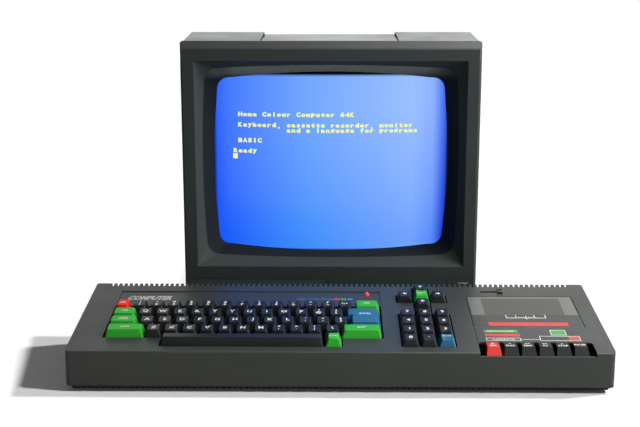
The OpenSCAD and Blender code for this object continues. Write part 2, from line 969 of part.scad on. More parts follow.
module power_switch_slider() {
    plate_x = console_w / 2 - 9 + fit_gap;
    color("#1e1f20") {
        translate([plate_x, front_y + slider_y - 6, slider_z - 4])
            cube([console_w / 2 - case_wall - fit_gap - plate_x, 18, 14]);
        difference() {
            translate([console_w / 2 - case_wall - fit_gap - eps, front_y + slider_y, slider_z])
                cube([case_wall, 6, 6]);
            for (i = [0:2])
                translate([console_w / 2 - 0.9, front_y + slider_y + 0.9 + i * 1.7, slider_z - 1])
                    cube([2, 0.8, 8]);
        }
    }
}

// ---------- cassette recorder ----------

module cassette_door() {
    color(abs_grey)
        difference() {
            union() {
                deck_block([door_x0, hinge_s, -case_wall], [door_x1, door_s1, 0]);
                on_deck()
                    translate([door_x0, hinge_s, hinge_h])
                        rotate([0, 90, 0])
                            cylinder(h = door_w, r = barrel_r);
                on_deck()
                    translate([door_x0 - door_gap - 1.2, hinge_s, hinge_h])
                        rotate([0, 90, 0])
                            cylinder(h = door_w + 2 * door_gap + 2.4, r = hinge_pin_r);
            }
            deck_block([door_x0 + 1, window_s0, -window_t], [door_x1 - 1, door_s1 - 1, 1]);
            deck_block([view_x0, view_s0, -5], [view_x1, view_s1, 1]);
        }
}

module cassette_window() {
    color("#7c8484", 0.45)
        deck_block([door_x0 + 1, window_s0, -window_t], [door_x1 - 1, door_s1 - 1, 0]);
}

// Channels under the door that take the cassette from the free edge.
module cassette_carrier() {
    inner = (cassette_w + 2 * pocket_gap) / 2;
    color("#2a2b2c")
        for (side = [0, 1])
            on_deck()
                translate([door_mid, 0, 0])
                    mirror([side, 0, 0]) {
                        translate([inner, pocket_s0 - 1.5, pocket_bottom - 1.5])
                            cube([2, pocket_s1 - pocket_s0 + 1.5, -case_wall - pocket_bottom + 1.5]);
                        translate([inner - 5, pocket_s0 - 1.5, pocket_bottom - 1.5])
                            cube([5 + eps, pocket_s1 - pocket_s0 + 1.5, 1.5]);
                        translate([inner - 5, pocket_s0 - 1.5, pocket_bottom - eps])
                            cube([5 + eps, 1.5, -case_wall - pocket_bottom + eps]);
                    }
}

module tape_chassis() {
    cheek_z0 = rod_z - 5;
    rod_x0 = tape_key_x(0) - tape_key_w / 2 - 0.6;
    rod_x1 = tape_key_x(5) + tape_key_w / 2 + 0.6;
    color(steel)
        difference() {
            union() {
                deck_block([bay_x0 + 1, bay_s0 + 3, chassis_bottom],
                    [bay_x1 - 1, bay_s1 - 1, chassis_top]);
                // Cheeks that carry the pivot rod of the piano keys.
                for (x = [rod_x0 - 2, rod_x1])
                    translate([x, front_y + rod_y - 5, cheek_z0])
                        cube([2, 16, 12]);
                translate([rod_x0 - 2, front_y + rod_y, rod_z])
                    rotate([0, 90, 0])
                        cylinder(h = rod_x1 - rod_x0 + 4, r = rod_r);
                // Standoffs down to the motor.
                for (a = [100, 157, 213])
                    deck_post(motor_x + 10 * cos(a), motor_s + 10 * sin(a),
                        flywheel_h - 1, chassis_top, 1.5);
                // Slide rails of the head sledge.
                for (x = [door_mid - 34, door_mid + 30])
                    deck_block([x, pocket_s0 - 6, chassis_top - eps],
                        [x + 4, pocket_s0 + 8, chassis_top + 2]);
            }
            for (side = [-1, 1])
                deck_post(door_mid + side * hub_gap / 2, spindle_s, -40, 0, spindle_r + shaft_gap);
            deck_post(capstan_x, capstan_s, -40, 0, capstan_r + shaft_gap);
            deck_post(motor_x, motor_s, -33, -20, 7);
        }
}

module head_sledge() {
    plate_h = chassis_top + 2 + fit_gap;
    head_s = pocket_s0 - sledge_travel - 5.5;
    color("#c8c9c6")
        difference() {
            union() {
                deck_block([door_mid - 36, head_s, plate_h],
                    [door_mid + 36, head_s + 10, plate_h + 1.2]);
                // Record and play head, then the erase head.
                for (x = [[-6, 6], [-23, -15]])
                    deck_block([door_mid + x[0], head_s, plate_h + 1],
                        [door_mid + x[1], head_s + 5.5, plate_h + 11]);
            }
            deck_post(capstan_x, capstan_s, -40, 0, 6);
        }
}

module pinch_roller() {
    s = capstan_s - capstan_r - roller_r - sledge_travel - 0.2;
    h0 = chassis_top + 2 + fit_gap + 1.5;
    color("#1a1a1a")
        deck_post(capstan_x, s, h0, h0 + 8, roller_r);
}

module spindle(x) {
    color("#d8d6cc") {
        deck_post(x, spindle_s, chassis_top + fit_gap, chassis_top + fit_gap + 2, 9);
        deck_post(x, spindle_s, chassis_top + fit_gap, -8.5, 2.6);
        deck_post(x, spindle_s, chassis_bottom - 4, chassis_top + 1, spindle_r);
        for (a = [0, 120, 240])
            on_deck()
                translate([x, spindle_s, chassis_top + 5])
                    rotate([0, 0, a])
                        translate([0, -0.6, 0])
                            cube([4.2, 1.2, 7.5]);
    }
}

module take_up_spindle() { spindle(door_mid + hub_gap / 2); }
module supply_spindle() { spindle(door_mid - hub_gap / 2); }

module flywheel() {
    color("#b7a98a")
        on_deck()
            translate([capstan_x, capstan_s, flywheel_h])
                difference() {
                    union() {
                        cylinder(h = 6, r = flywheel_r);
                        translate([0, 0, 5])
                            cylinder(h = -8.5 - flywheel_h - 5, r = capstan_r);
                        translate([0, 0, 5])
                            cylinder(h = 3.5, r = 4);
                    }
                    rotate_extrude()
                        translate([flywheel_r - 0.6, 2])
                            square([3, 2]);
                }
}

module tape_motor() {
    color("#9a9c9c")
        on_deck()
            translate([motor_x, motor_s, 0]) {
                translate([0, 0, flywheel_h - 17])
                    cylinder(h = 16, r = motor_r);
                translate([0, 0, flywheel_h - 1.5])
                    cylinder(h = 8, r = 1);
                difference() {
                    translate([0, 0, flywheel_h + 0.5])
                        cylinder(h = 5, r = pulley_r);
                    translate([0, 0, flywheel_h + 2])
                        rotate_extrude()
                            translate([pulley_r - 0.6, 0])
                                square([3, 2]);
                }
            }
}

module belt_outline(extra) {
    hull() {
        translate([capstan_x, capstan_s])
            circle(r = flywheel_r + fit_gap + extra);
        translate([motor_x, motor_s])
            circle(r = pulley_r + fit_gap + extra);
    }
}

module drive_belt() {
    color("#111111")
        on_deck()
            translate([0, 0, flywheel_h + 2.3])
                linear_extrude(1.4)
                    difference() {
                        belt_outline(1);
                        belt_outline(0);
                    }
}

// Side outline of a piano key: sloping face, flat top, arm and hub.
module tape_key_side() {
    top_z = front_h + 3.9;
    polygon([[3.7, rod_z - 2], [3.7, front_h - 4.2], [10.2, front_h + 3.2],
        [23.2, top_z], [23.2, rod_z + 8], [12, rod_z + 3], [8, rod_z - 2]]);
}

module tape_key(i, tint) {
    top_w = tape_key_w - 3.4;
    color(tint)
        translate([tape_key_x(i), front_y, 0]) {
            intersection() {
                along_x(tape_key_w)
                    tape_key_side();
                translate([0, -1, 0])
                    along_y(40)
                        polygon([[-tape_key_w / 2, rod_z - 5], [tape_key_w / 2, rod_z - 5],
                            [tape_key_w / 2, front_h - 6], [top_w / 2, front_h + 4],
                            [-top_w / 2, front_h + 4], [-tape_key_w / 2, front_h - 6]]);
            }
            difference() {
                along_x(7)
                    hull() {
                        translate([rod_y, rod_z])
                            circle(r = rod_r + 2.5);
                        translate([21, rod_z + 6])
                            circle(r = 3);
                    }
                translate([-10, rod_y, rod_z])
                    rotate([0, 90, 0])
                        cylinder(h = 20, r = rod_r + shaft_gap);
            }
        }
}

module record_key() { tape_key(0, key_red); }
module play_key() { tape_key(1, key_black); }
module rewind_key() { tape_key(2, key_black); }
module fast_forward_key() { tape_key(3, key_black); }
module stop_eject_key() { tape_key(4, key_black); }
module pause_key() { tape_key(5, key_black); }

module digit_wheel(i, r) {
    on_deck()
        translate([counter_x0 + 1 + i * (digit_w + 0.6), counter_s, digit_h])
            rotate([0, 90, 0])
                difference() {
                    cylinder(h = digit_w, r = r);
                    translate([0, 0, -1])
                        cylinder(h = 10, r = 1 + shaft_gap);
                }
}

module tape_counter() {
    color("#2b2b2b") {
        difference() {
            deck_block([counter_x0 - 2, counter_s - 7.5, digit_h - digit_r - 2],
                [counter_x0 + counter_w + 1, counter_s + 7.5, -case_wall]);
            deck_block([counter_x0, counter_s - 6, digit_h - digit_r - 0.5],
                [counter_x0 + counter_w - 0.5, counter_s + 6, -case_wall + 1]);
        }
        on_deck()
            translate([counter_x0 - 1, counter_s, digit_h])
                rotate([0, 90, 0])
                    cylinder(h = counter_w + 1, r = 1);
    }
    color("#e8e8e4")
        for (i = [0, 1])
            digit_wheel(i, digit_r);
}

module counter_units_wheel() {
    color("#e8e8e4") digit_wheel(2, digit_r);
}

module counter_reset_button() {
    color("#1c1c1c")
        on_deck()
            translate([reset_x, counter_s, -6])
                difference() {
                    linear_extrude(8)
                        rounded_rect(reset_w, reset_len, 1.2);
                    translate([-5, 0, 8 + 9.3])
                        rotate([0, 90, 0])
                            cylinder(h = 10, r = 10);
                }
}

// ---------- monitor ----------

// Outline with four bowed sides, (w, h) across its middles.
module bowed(w, h, bow, r) {
    side_r = (pow(h / 2, 2) + pow(bow, 2)) / (2 * bow);
    flat_r = (pow(w / 2, 2) + pow(bow, 2)) / (2 * bow);
    offset(r = r, $fn = 32)
        offset(delta = -r)
            intersection() {
                translate([w / 2 - side_r, 0])
                    circle(r = side_r, $fn = 360);
                translate([side_r - w / 2, 0])
                    circle(r = side_r, $fn = 360);
                translate([0, h / 2 - flat_r])
                    circle(r = flat_r, $fn = 360);
                translate([0, flat_r - h / 2])
                    circle(r = flat_r, $fn = 360);
            }
}

// Puts an x-z outline as a thin slice at a depth behind the front frame.
module slice(depth, z) {
    translate([monitor_x, monitor_y + depth, z])
        along_y(0.1)
            children();
}

// The two-stage mouth of the front frame, grown by a wall thickness. It closes
// a little on its way past the curved glass.
module mouth(grow, front) {
    hull() {
        slice(front, mouth_mid_z)
            square([mouth_w + 2 * grow, mouth_h + 2 * grow], center = true);
        slice(lip_depth, mouth_mid_z)
            bowed(lip_w + 2 * grow, lip_h + 2 * grow, screen_bow, lip_r);
    }
    hull() {
        slice(lip_depth, mouth_mid_z)
            bowed(lip_w + 2 * grow, lip_h + 2 * grow, screen_bow, lip_r);
        slice(glass_depth + lip_end, screen_z)
            bowed(screen_w - lip_close + 2 * grow, screen_h - lip_close + 2 * grow, screen_bow, screen_r);
    }
}

// Front frame block with a bevelled front edge.
module frame_block(inset, depth) {
    w = monitor_w - 2 * inset;
    z0 = monitor_bottom + inset;
    z1 = monitor_top - inset;
    translate([monitor_x, monitor_y + inset, 0])
        intersection() {
            along_x(w)
                polygon([[0, z0], [0, z1 - bevel_h], [bevel_d, z1], [depth, z1], [depth, z0]]);
            linear_extrude(z1 + 10)
                polygon([[-w / 2 + frame_edge, 0], [w / 2 - frame_edge, 0], [w / 2, frame_edge],
                    [w / 2, depth], [-w / 2, depth], [-w / 2, frame_edge]]);
            translate([0, -1, (z0 + z1) / 2])
                along_y(depth + 2)
                    rounded_rect(w, z1 - z0, frame_edge, $fn = 24);
        }
}

module lug_places() {
    for (x = [-lug_x, lug_x], z = [-lug_z, lug_z])
        translate([monitor_x + x, monitor_y, screen_z + z])
            rotate([-90, 0, 0])
                children();
}

// Shallow line round the panel of the power button, open to the right.
module power_panel_line() {
    translate([monitor_x + panel_x, monitor_y - 1, panel_z0])
        cube([line_w, 1 + line_d, panel_z1 - panel_z0]);
    for (z = [panel_z0, panel_z1 - line_w])
        translate([monitor_x + panel_x, monitor_y - 1, z])
            cube([monitor_w / 2 - panel_x + 1, 1 + line_d, line_w]);
}

module monitor_bezel() {
    color(abs_black)
        difference() {
            union() {
                difference() {
                    frame_block(0, bezel_d);
                    frame_block(shell_wall, bezel_d + 10);
                }
                difference() {
                    mouth(2.5, 1);
                    translate([-400, monitor_y + glass_depth + funnel_end, 0])
                        cube([800, 100, 500]);
                }
                lug_places()
                    translate([0, 0, 2])
                        cylinder(h = lug_depth - 2, r = 5);
                translate([monitor_x + power_x - power_w / 2 - shell_wall, monitor_y + 2,
                    power_z - power_h / 2 - shell_wall])
                    cube([power_w + 2 * shell_wall, 12, power_h + 2 * shell_wall]);
            }
            mouth(0, -0.2);
            translate([monitor_x - monitor_w / 2 + 5, monitor_y - 1, 24])
                cube([166, 1.6, 45]);
            translate([monitor_x + power_x - power_w / 2 - fit_gap, monitor_y - 5,
                power_z - power_h / 2 - fit_gap])
                cube([power_w + 2 * fit_gap, 60, power_h + 2 * fit_gap]);
            power_panel_line();
            for (x = lead_x)
                translate([monitor_x + x, monitor_y - 2, lead_z])
                    rotate([-90, 0, 0])
                        cylinder(h = 20, r = 5);
            lug_places()
                translate([0, 0, lug_depth - 16])
                    cylinder(h = 20, r = 1.7);
            translate([monitor_x, monitor_y + glass_depth - 0.4 + glass_r, screen_z])
                sphere(r = glass_r, $fn = 200);
        }
}

module monitor_power_button() {
    color("#191b1b")
        translate([monitor_x + power_x - power_w / 2, monitor_y - 1.5, power_z - power_h / 2])
            difference() {
                cube([power_w, 16, power_h]);
                translate([-1, -24.2, power_h / 2])
                    rotate([0, 90, 0])
                        cylinder(h = 30, r = 25, $fn = 96);
            }
}

// Side and plan outlines of the rear shell.
module shell_side(inset) {
    offset(r = 4, $fn = 24)
        offset(delta = -4 - inset)
            polygon([[-30, monitor_bottom], [-30, monitor_top - 1], [bezel_d, monitor_top - 1],
                [roof_depth, roof_z], [roof_depth + 9, roof_z - 12], [monitor_d - 60, tail_top + 8],
                [monitor_d, tail_top - 14], [monitor_d, 46], [monitor_d - 60, monitor_bottom]]);
}

module shell_plan(inset) {
    half = shell_half;
    offset(r = 4, $fn = 24)
        offset(delta = -4 - inset)
            polygon([[-half, -30], [half, -30], [half, roof_depth + 4], [half - 12, roof_depth + 16],
                [tail_w / 2 + 8, monitor_d - 50], [tail_w / 2, monitor_d], [-tail_w / 2, monitor_d],
                [-tail_w / 2 - 8, monitor_d - 50], [-half + 12, roof_depth + 16],
                [-half, roof_depth + 4]]);
}

// The middle of the roof lies a little lower than its two shoulders.
module roof_recess(inset) {
    translate([(roof_groove[0] + roof_groove[1]) / 2, 0, 0])
        along_x(roof_groove[1] - roof_groove[0] + 2 * inset)
            polygon([[bezel_d - 1, monitor_top - 1 - inset], [roof_depth, roof_z - 3 - inset],
                [monitor_d, roof_z - 3 - inset], [monitor_d, roof_z + 30], [bezel_d - 1, roof_z + 30]]);
}

module shell_block(inset) {
    difference() {
        intersection() {
            along_x(monitor_w)
                shell_side(inset);
            translate([0, 0, -10])
                linear_extrude(450)
                    shell_plan(inset);
        }
        roof_recess(inset);
    }
}

module shell_vents() {
    for (i = [-13:13])
        translate([i * 8 - 2, roof_depth + 40, tail_top - 60])
            cube([4, 90, 120]);
    for (i = [-11:11])
        translate([i * 9 - 2, monitor_d - 20, 150])
            cube([4, 40, 100]);
}

module monitor_rear_shell() {
    board_x = 120;
    color("#30383a")
        translate([monitor_x, monitor_y, 0])
            difference() {
                union() {
                    difference() {
                        shell_block(0);
                        shell_block(shell_wall);
                    }
                    // Rails for the chassis board.
                    for (x = [-board_x - 4, board_x - 4])
                        translate([x, 70, monitor_bottom + 1])
                            cube([8, 215, 21]);
                    // Shelf and pin of the brightness wheel.
                    intersection() {
                        shell_block(0.5);
                        translate([knob_x - 13, knob_y - 16, knob_z - fit_gap - 2])
                            cube([40, 32, 2]);
                    }
                    translate([knob_x, knob_y, knob_z - 2])
                        cylinder(h = knob_t + 3, r = wheel_pin_r);
                }
                translate([-300, -60, -60])
                    cube([600, 60 + bezel_d, 600]);
                // A groove at each end of the roof's lower middle.
                for (x = roof_groove)
                    translate([x, 0, 0])
                        along_x(2)
                            polygon([[bezel_d - 1, monitor_top - 2.6], [roof_depth - 12, roof_z - 5.2],
                                [roof_depth - 12, roof_z + 9], [bezel_d - 1, roof_z + 9]]);
                shell_vents();
                translate([knob_x, knob_y - knob_slot / 2, knob_z - 1])
                    cube([30, knob_slot, knob_t + 2]);
                translate([tail_lead_x, monitor_d - 10, tail_lead_z])
                    rotate([-90, 0, 0])
                        cylinder(h = 20, r = 6.5);
            }
}

module brightness_wheel() {
    color("#191b1b")
        translate([monitor_x + knob_x, monitor_y + knob_y, knob_z])
            knurled_wheel(knob_r, knob_t, wheel_pin_r + shaft_gap);
}

module lead_grommets() {
    color("#121313") {
        for (x = lead_x)
            translate([monitor_x + x, monitor_y - 2, lead_z])
                rotate([-90, 0, 0])
                    difference() {
                        union() {
                            cylinder(h = 12, r = 4.9);
                            cylinder(h = 1.9, r = 8);
                        }
                        translate([0, 0, -1])
                            cylinder(h = 20, r = 3);
                    }
        translate([monitor_x + tail_lead_x, monitor_y + monitor_d - 8, tail_lead_z])
            rotate([-90, 0, 0])
                difference() {
                    union() {
                        cylinder(h = 8, r = 6.4);
                        cylinder(h = 4, r = 9);
                    }
                    translate([0, 0, -1])
                        cylinder(h = 20, r = 4);
                }
    }
}

module picture_tube() {
    color("#3f6df0")
        union() {
            intersection() {
                translate([monitor_x, monitor_y + glass_depth + glass_r, screen_z])
                    sphere(r = glass_r, $fn = 200);
                translate([monitor_x, monitor_y + glass_depth - 1, screen_z])
                    along_y(panel_depth - glass_depth + 1)
                        bowed(glass_w, glass_h, screen_bow, glass_r_corner);
            }
            hull() {
                slice(panel_depth - 0.2, screen_z)
                    bowed(glass_w - 1, glass_h - 1, screen_bow, glass_r_corner);
                translate([monitor_x, monitor_y + funnel_depth, screen_z])
                    rotate([-90, 0, 0])
                        cylinder(h = 0.5, r = 20, $fn = 32);
            }
            translate([monitor_x, monitor_y + funnel_depth - 12, screen_z])
                rotate([-90, 0, 0])
                    cylinder(h = neck_depth - funnel_depth + 12, r = neck_r);
        }
}

module tube_band() {
    color(steel)
        difference() {
            union() {
                translate([monitor_x, monitor_y + lug_depth, screen_z])
                    along_y(9)
                        bowed(glass_w + 2 * band_t, glass_h + 2 * band_t, screen_bow, glass_r_corner + 1);
                lug_places()
                    translate([0, 0, lug_depth])
                        cylinder(h = 2, r = 7);
            }
            translate([monitor_x, monitor_y, screen_z])
                along_y(200)
                    bowed(glass_w + fit_gap, glass_h + fit_gap, screen_bow, glass_r_corner);
            lug_places()
                cylinder(h = 200, r = 2.2);
        }
}

module deflection_yoke() {
    color("#9c4a22")
        translate([monitor_x, monitor_y + funnel_depth - 16, screen_z])
            rotate([-90, 0, 0])
                rotate_extrude($fn = 96)
                    polygon([[42, 0], [58, 0], [58, 4], [44, 14], [34, 44], [30, 48],
                        [neck_r + fit_gap, 48], [neck_r + fit_gap, 22], [24, 17], [38, 4]]);
}

module neck_board() {
    color(board_green)
        translate([monitor_x, monitor_y + neck_depth - 12, screen_z])
            rotate([-90, 0, 0])
                difference() {
                    translate([-40, -32, 0])
                        cube([80, 64, board_t]);
                    translate([0, 0, -1])
                        cylinder(h = 4, r = neck_r + fit_gap);
                }
}

module monitor_chassis_board() {
    color(board_green)
        translate([monitor_x, monitor_y, monitor_board_z]) {
            difference() {
                translate([-125, 60, 0])
                    cube([250, 235, board_t]);
                translate([-40, 190, -1])
                    cube([80, 30, 4]);
            }
            // Smoothing capacitor and heat sink.
            translate([-90, 100, board_t - eps])
                cylinder(h = 30, r = 14);
            translate([-50, 110, board_t - eps])
                cube([10, 60, 28]);
        }
}

module flyback_transformer() {
    color("#22262a")
        translate([monitor_x + 70, monitor_y + 240, monitor_board_z + board_t]) {
            cylinder(h = 42, r = 20);
            translate([-30, -8, 0])
                difference() {
                    cube([14, 16, 46]);
                    translate([-1, 4, 10])
                        cube([8, 8, 26]);
                }
        }
}

monitor_bezel();
monitor_rear_shell();
picture_tube();
tube_band();
deflection_yoke();
neck_board();
monitor_chassis_board();
flyback_transformer();
lead_grommets();
monitor_power_button();
brightness_wheel();
rubber_feet();
case_screws();
console_top_case();
console_base();
key_guide_plate();
contact_board();
main_circuit_board();
rear_sockets();
loudspeaker();
power_lamp();
volume_wheel();
power_switch_slider();
cassette_door();
cassette_window();
cassette_carrier();
tape_chassis();
tape_motor();
drive_belt();
flywheel();
take_up_spindle();
supply_spindle();
pinch_roller();
head_sledge();
record_key();
play_key();
rewind_key();
fast_forward_key();
stop_eject_key();
pause_key();
tape_counter();
counter_units_wheel();
counter_reset_button();
escape_key();
tab_key();
caps_lock_key();
left_shift_key();
delete_key();
enter_key();
right_shift_key();
control_key();
space_bar();
copy_key();
keypad_enter_key();
cursor_keys();
number_row_keys();
upper_row_keys();
home_row_keys();
lower_row_keys();
keypad_keys();
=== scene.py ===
import math

import bpy
import numpy as np
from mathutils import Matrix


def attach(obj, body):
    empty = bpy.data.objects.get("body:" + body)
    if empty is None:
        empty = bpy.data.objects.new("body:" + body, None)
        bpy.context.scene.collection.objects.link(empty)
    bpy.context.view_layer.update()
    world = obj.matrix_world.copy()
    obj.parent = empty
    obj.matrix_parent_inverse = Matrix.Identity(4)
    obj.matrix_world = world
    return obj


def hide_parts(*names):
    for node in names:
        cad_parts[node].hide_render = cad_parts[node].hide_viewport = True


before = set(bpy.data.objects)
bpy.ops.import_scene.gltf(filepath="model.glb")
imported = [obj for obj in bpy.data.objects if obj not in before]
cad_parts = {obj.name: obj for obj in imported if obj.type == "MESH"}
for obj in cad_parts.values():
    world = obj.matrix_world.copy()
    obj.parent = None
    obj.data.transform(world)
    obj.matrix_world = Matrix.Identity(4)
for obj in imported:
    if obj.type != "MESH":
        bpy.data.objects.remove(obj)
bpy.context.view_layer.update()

# ---------- Viewpoint ----------
# A seated person's view of the desk, a little above the monitor's top,
# with a short telephoto lens and the camera turned a hair to the left.
sensor_mm, lens_mm = 36.0, 60.02
eye, down_deg, left_deg = (-0.00769, -1.34059, 0.40043), 11.33, 0.678
viewer = bpy.data.objects.new("viewer", bpy.data.cameras.new("viewer"))
viewer.data.sensor_width = sensor_mm
viewer.data.lens = lens_mm
viewer.location = eye
viewer.rotation_euler = (math.radians(90 - down_deg), 0.0, math.radians(left_deg))
bpy.context.scene.collection.objects.link(viewer)
bpy.context.scene.camera = viewer
bpy.context.scene.view_settings.view_transform = "Standard"

# ---------- Table and studio light ----------
# A painted table top that runs out into a white room. A wide softbox hangs
# in front of the monitor, a small one stands at the right, low down, and three
# lamps far off light only the table.


def linear(code):
    """sRGB hex to linear light: a channel c is c / 12.92 up to 0.04045, and
    ((c + 0.055) / 1.055) ** 2.4 above it."""
    c = np.array([int(code[i:i + 2], 16) for i in (0, 2, 4)]) / 255
    c = np.where(c <= 0.04045, c / 12.92, ((c + 0.055) / 1.055) ** 2.4)
    return (*c.tolist(), 1.0)


def add(tree, kind, inputs=None, **settings):
    """Adds one shader node with its settings. An input that is a socket is linked, one that is a node is
    linked from that node's first output in use, and any other is written in."""
    node = tree.nodes.new("ShaderNode" + kind)
    for name, value in settings.items():
        setattr(node, name, value)
    for key, value in (inputs or {}).items():
        if isinstance(value, bpy.types.Node):
            value = next(output for output in value.outputs if output.enabled)
        if isinstance(value, bpy.types.NodeSocket):
            tree.links.new(value, node.inputs[key])
        else:
            node.inputs[key].default_value = value
    return node


def finish(name):
    """A new empty material: its node tree and the piece's own Object coordinates, in metres."""
    material = bpy.data.materials.new(name)
    material.use_nodes = True
    material.node_tree.nodes.clear()
    place = add(material.node_tree, "TexCoord").outputs["Object"]
    return material, material.node_tree, place


def sheet_mesh(name, points, faces, crease=35.0):
    """One object at the origin from points in metres. Faces that meet at more than crease degrees keep
    a hard edge."""
    mesh = bpy.data.meshes.new(name)
    mesh.from_pydata(np.asarray(points, float).reshape(-1, 3).tolist(), [], faces)
    mesh.polygons.foreach_set("use_smooth", np.ones(len(mesh.polygons), bool))
    mesh.set_sharp_from_angle(angle=math.radians(crease))
    piece = bpy.data.objects.new(name, mesh)
    bpy.context.scene.collection.objects.link(piece)
    return piece


# Eggshell paint on board: matt, with a faint roller mottle 8 mm wide. It is
# white to the eye, and to the object it gives back a light grey's share of light.
# Under the monitor, which some of the table's lamps shine through, it is painted dark: a painted shadow. That
# painted shadow has its middle and its half sides here, in metres.
mottle_mm, eye_lift = 8.0, 0.02
shadow_mid_x, shadow_mid_y, shadow_half_x, shadow_half_y = -0.010, 0.060, 0.150, 0.145
table_paint, tree, place = finish("eggshell_paint")
mottle = add(tree, "TexNoise", {"Vector": place, "Scale": 1000 / mottle_mm, "Detail": 2.0})
clean = add(tree, "Mix", {0: mottle, 6: linear("f0f0ee"), 7: linear("f6f6f5")}, data_type="RGBA")
centred = add(tree, "Mapping", {"Vector": place, "Location": (-shadow_mid_x, -shadow_mid_y, 0.0)})
reach = add(tree, "VectorMath", {0: centred, 1: (1 / shadow_half_x, 1 / shadow_half_y, 0.0)}, operation="MULTIPLY")
size = add(tree, "VectorMath", {0: reach}, operation="ABSOLUTE")
sides = add(tree, "SeparateXYZ", {"Vector": size})
farther = add(tree, "Math", {0: sides.outputs["X"], 1: sides.outputs["Y"]}, operation="MAXIMUM")
# Painted shadow: the table turns dark grey under the monitor's footprint and fades out over the last fifth of
# its reach.
painted_shadow = add(tree, "MapRange", {
    "Value": farther, "From Min": 0.8, "From Max": 1.0, "To Min": 1.0, "To Max": 0.0})
tone = add(tree, "Mix", {0: painted_shadow, 6: clean, 7: linear("262626")}, data_type="RGBA")
path = add(tree, "LightPath")
shade = add(tree, "Mix", {0: path.outputs["Is Camera Ray"], 6: linear("a6a6a4"), 7: tone}, data_type="RGBA")
paint = add(tree, "BsdfPrincipled", {"Base Color": shade, "Roughness": 0.85, "Specular IOR Level": 0.2})
lift = add(tree, "Math", {0: path.outputs["Is Camera Ray"], 1: eye_lift}, operation="MULTIPLY")
glow = add(tree, "Emission", {"Color": (1.0, 1.0, 1.0, 1.0), "Strength": lift})
both = add(tree, "AddShader", {0: paint, 1: glow})
add(tree, "OutputMaterial", {"Surface": both})

# The table top is a disc cut in two behind the monitor's middle, because each
# half has lamps of its own.
table_r, seam_y = 9.0, 0.1
seam_turn = math.asin(seam_y / table_r)
tables = []
for name, begin, end in (("table_front", math.pi - seam_turn, 2 * math.pi + seam_turn),
                         ("table_rear", seam_turn, math.pi - seam_turn)):
    turn = np.linspace(begin, end, 64)
    rim = np.stack([table_r * np.cos(turn), table_r * np.sin(turn), 0 * turn], -1)
    half = sheet_mesh(name, rim, [list(range(len(turn)))])
    half.data.materials.append(table_paint)
    tables.append(half)

# The room is white to the eye. A gloss sees it dim in front and bright behind,
# brighter at the right than at the left and brightest low down, and as plain
# light it gives little. Each row: axis, from, to, strength there and there.
room = bpy.data.worlds.new("white_room")
room.use_nodes = True
room.node_tree.nodes.clear()
bpy.context.scene.world = room
tree = room.node_tree
towards = add(tree, "SeparateXYZ", {"Vector": add(tree, "TexCoord").outputs["Generated"]})
rear, side, high = [
    add(tree, "MapRange", {
        "Value": towards.outputs[axis], "From Min": begin, "From Max": end, "To Min": first, "To Max": last})
    for axis, begin, end, first, last in (
        ("Y", -0.2, 0.4, 0.1, 0.96), ("X", -0.6, 0.6, 0.4, 1.65), ("Z", 0.1, 0.5, 2.25, 0.88))]
wall = add(tree, "Math", {0: rear, 1: side}, operation="MULTIPLY")
glint = add(tree, "Math", {0: wall, 1: high}, operation="MULTIPLY")
path = add(tree, "LightPath")
unseen = add(tree, "Mix", {0: path.outputs["Is Diffuse Ray"], 2: glint, 3: 0.12}, data_type="FLOAT")
shown = add(tree, "Mix", {0: path.outputs["Is Camera Ray"], 2: unseen, 3: 1.0}, data_type="FLOAT")
walls = add(tree, "Background", {"Color": (1.0, 1.0, 1.0, 1.0), "Strength": shown})
add(tree, "OutputWorld", {"Surface": walls})


def lamp(name, kind, energy, at, towards, **settings):
    """Hangs a lamp at a point in metres and turns it to face another."""
    light = bpy.data.objects.new(name, bpy.data.lights.new(name, kind))
    light.data.energy = energy
    for key, value in settings.items():
        setattr(light.data, key, value)
    light.location = at
    aim = np.asarray(towards, float) - np.asarray(at, float)
    down = math.acos(-aim[2] / np.linalg.norm(aim))
    light.rotation_euler = (down, 0.0, math.atan2(aim[1], aim[0]) - math.pi / 2)
    bpy.context.scene.collection.objects.link(light)
    return light


def leave_out(collection, pieces):
    """Adds pieces to a lamp's collection as ones that the lamp passes over."""
    for piece in pieces:
        collection.objects.link(piece)
    for member in collection.collection_objects:
        member.light_linking.link_state = "EXCLUDE"


# The softboxes light all but the table.
softboxes = [
    lamp("overhead_softbox", "AREA", 20.0, (0.7, -0.6, 1.1), (0.05, -0.15, 0.1), size=0.9),
    lamp("right_softbox", "AREA", 7.0, (0.95, -0.75, 0.38), (0.1, -0.25, 0.05), size=0.4)]
all_but_the_table = bpy.data.collections.new("all_but_the_table")
leave_out(all_but_the_table, tables)
for softbox in softboxes:
    softbox.light_linking.receiver_collection = all_but_the_table

# The table's own lamps keep it white with a clear shadow: two light its front
# half from the right, past the monitor, and one its rear half from the front.
origin = (0.0, 0.0, 0.0)
table_lights = [
    lamp("table_light_front", "SUN", 2.6, (1.2, -0.24, 1.0), origin, angle=math.radians(4)),
    lamp("table_light_rear", "SUN", 2.5, (1.2, 0.36, 1.0), origin, angle=math.radians(4)),
    lamp("table_light_over", "SUN", 4.3, (0.1, -1.0, 1.3), origin, angle=math.radians(8))]
for light, half in zip(table_lights, (tables[0], tables[0], tables[1])):
    lit = bpy.data.collections.new(light.name + "_falls_on")
    lit.objects.link(half)
    light.light_linking.receiver_collection = lit
spared = bpy.data.collections.new("throws_no_shadow")
leave_out(spared, [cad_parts[node] for node in (
    "monitor_bezel", "monitor_rear_shell", "picture_tube", "brightness_wheel", "monitor_power_button",
    "tube_band", "deflection_yoke", "neck_board", "monitor_chassis_board", "flyback_transformer")])
for light in table_lights[:2]:
    light.light_linking.blocker_collection = spared

# ---------- Mouldings of the console ----------
# The console is two ABS mouldings, a grey lid and a black tray, screwed
# together from below. Spark-eroded moulds gave both a fine even grain.


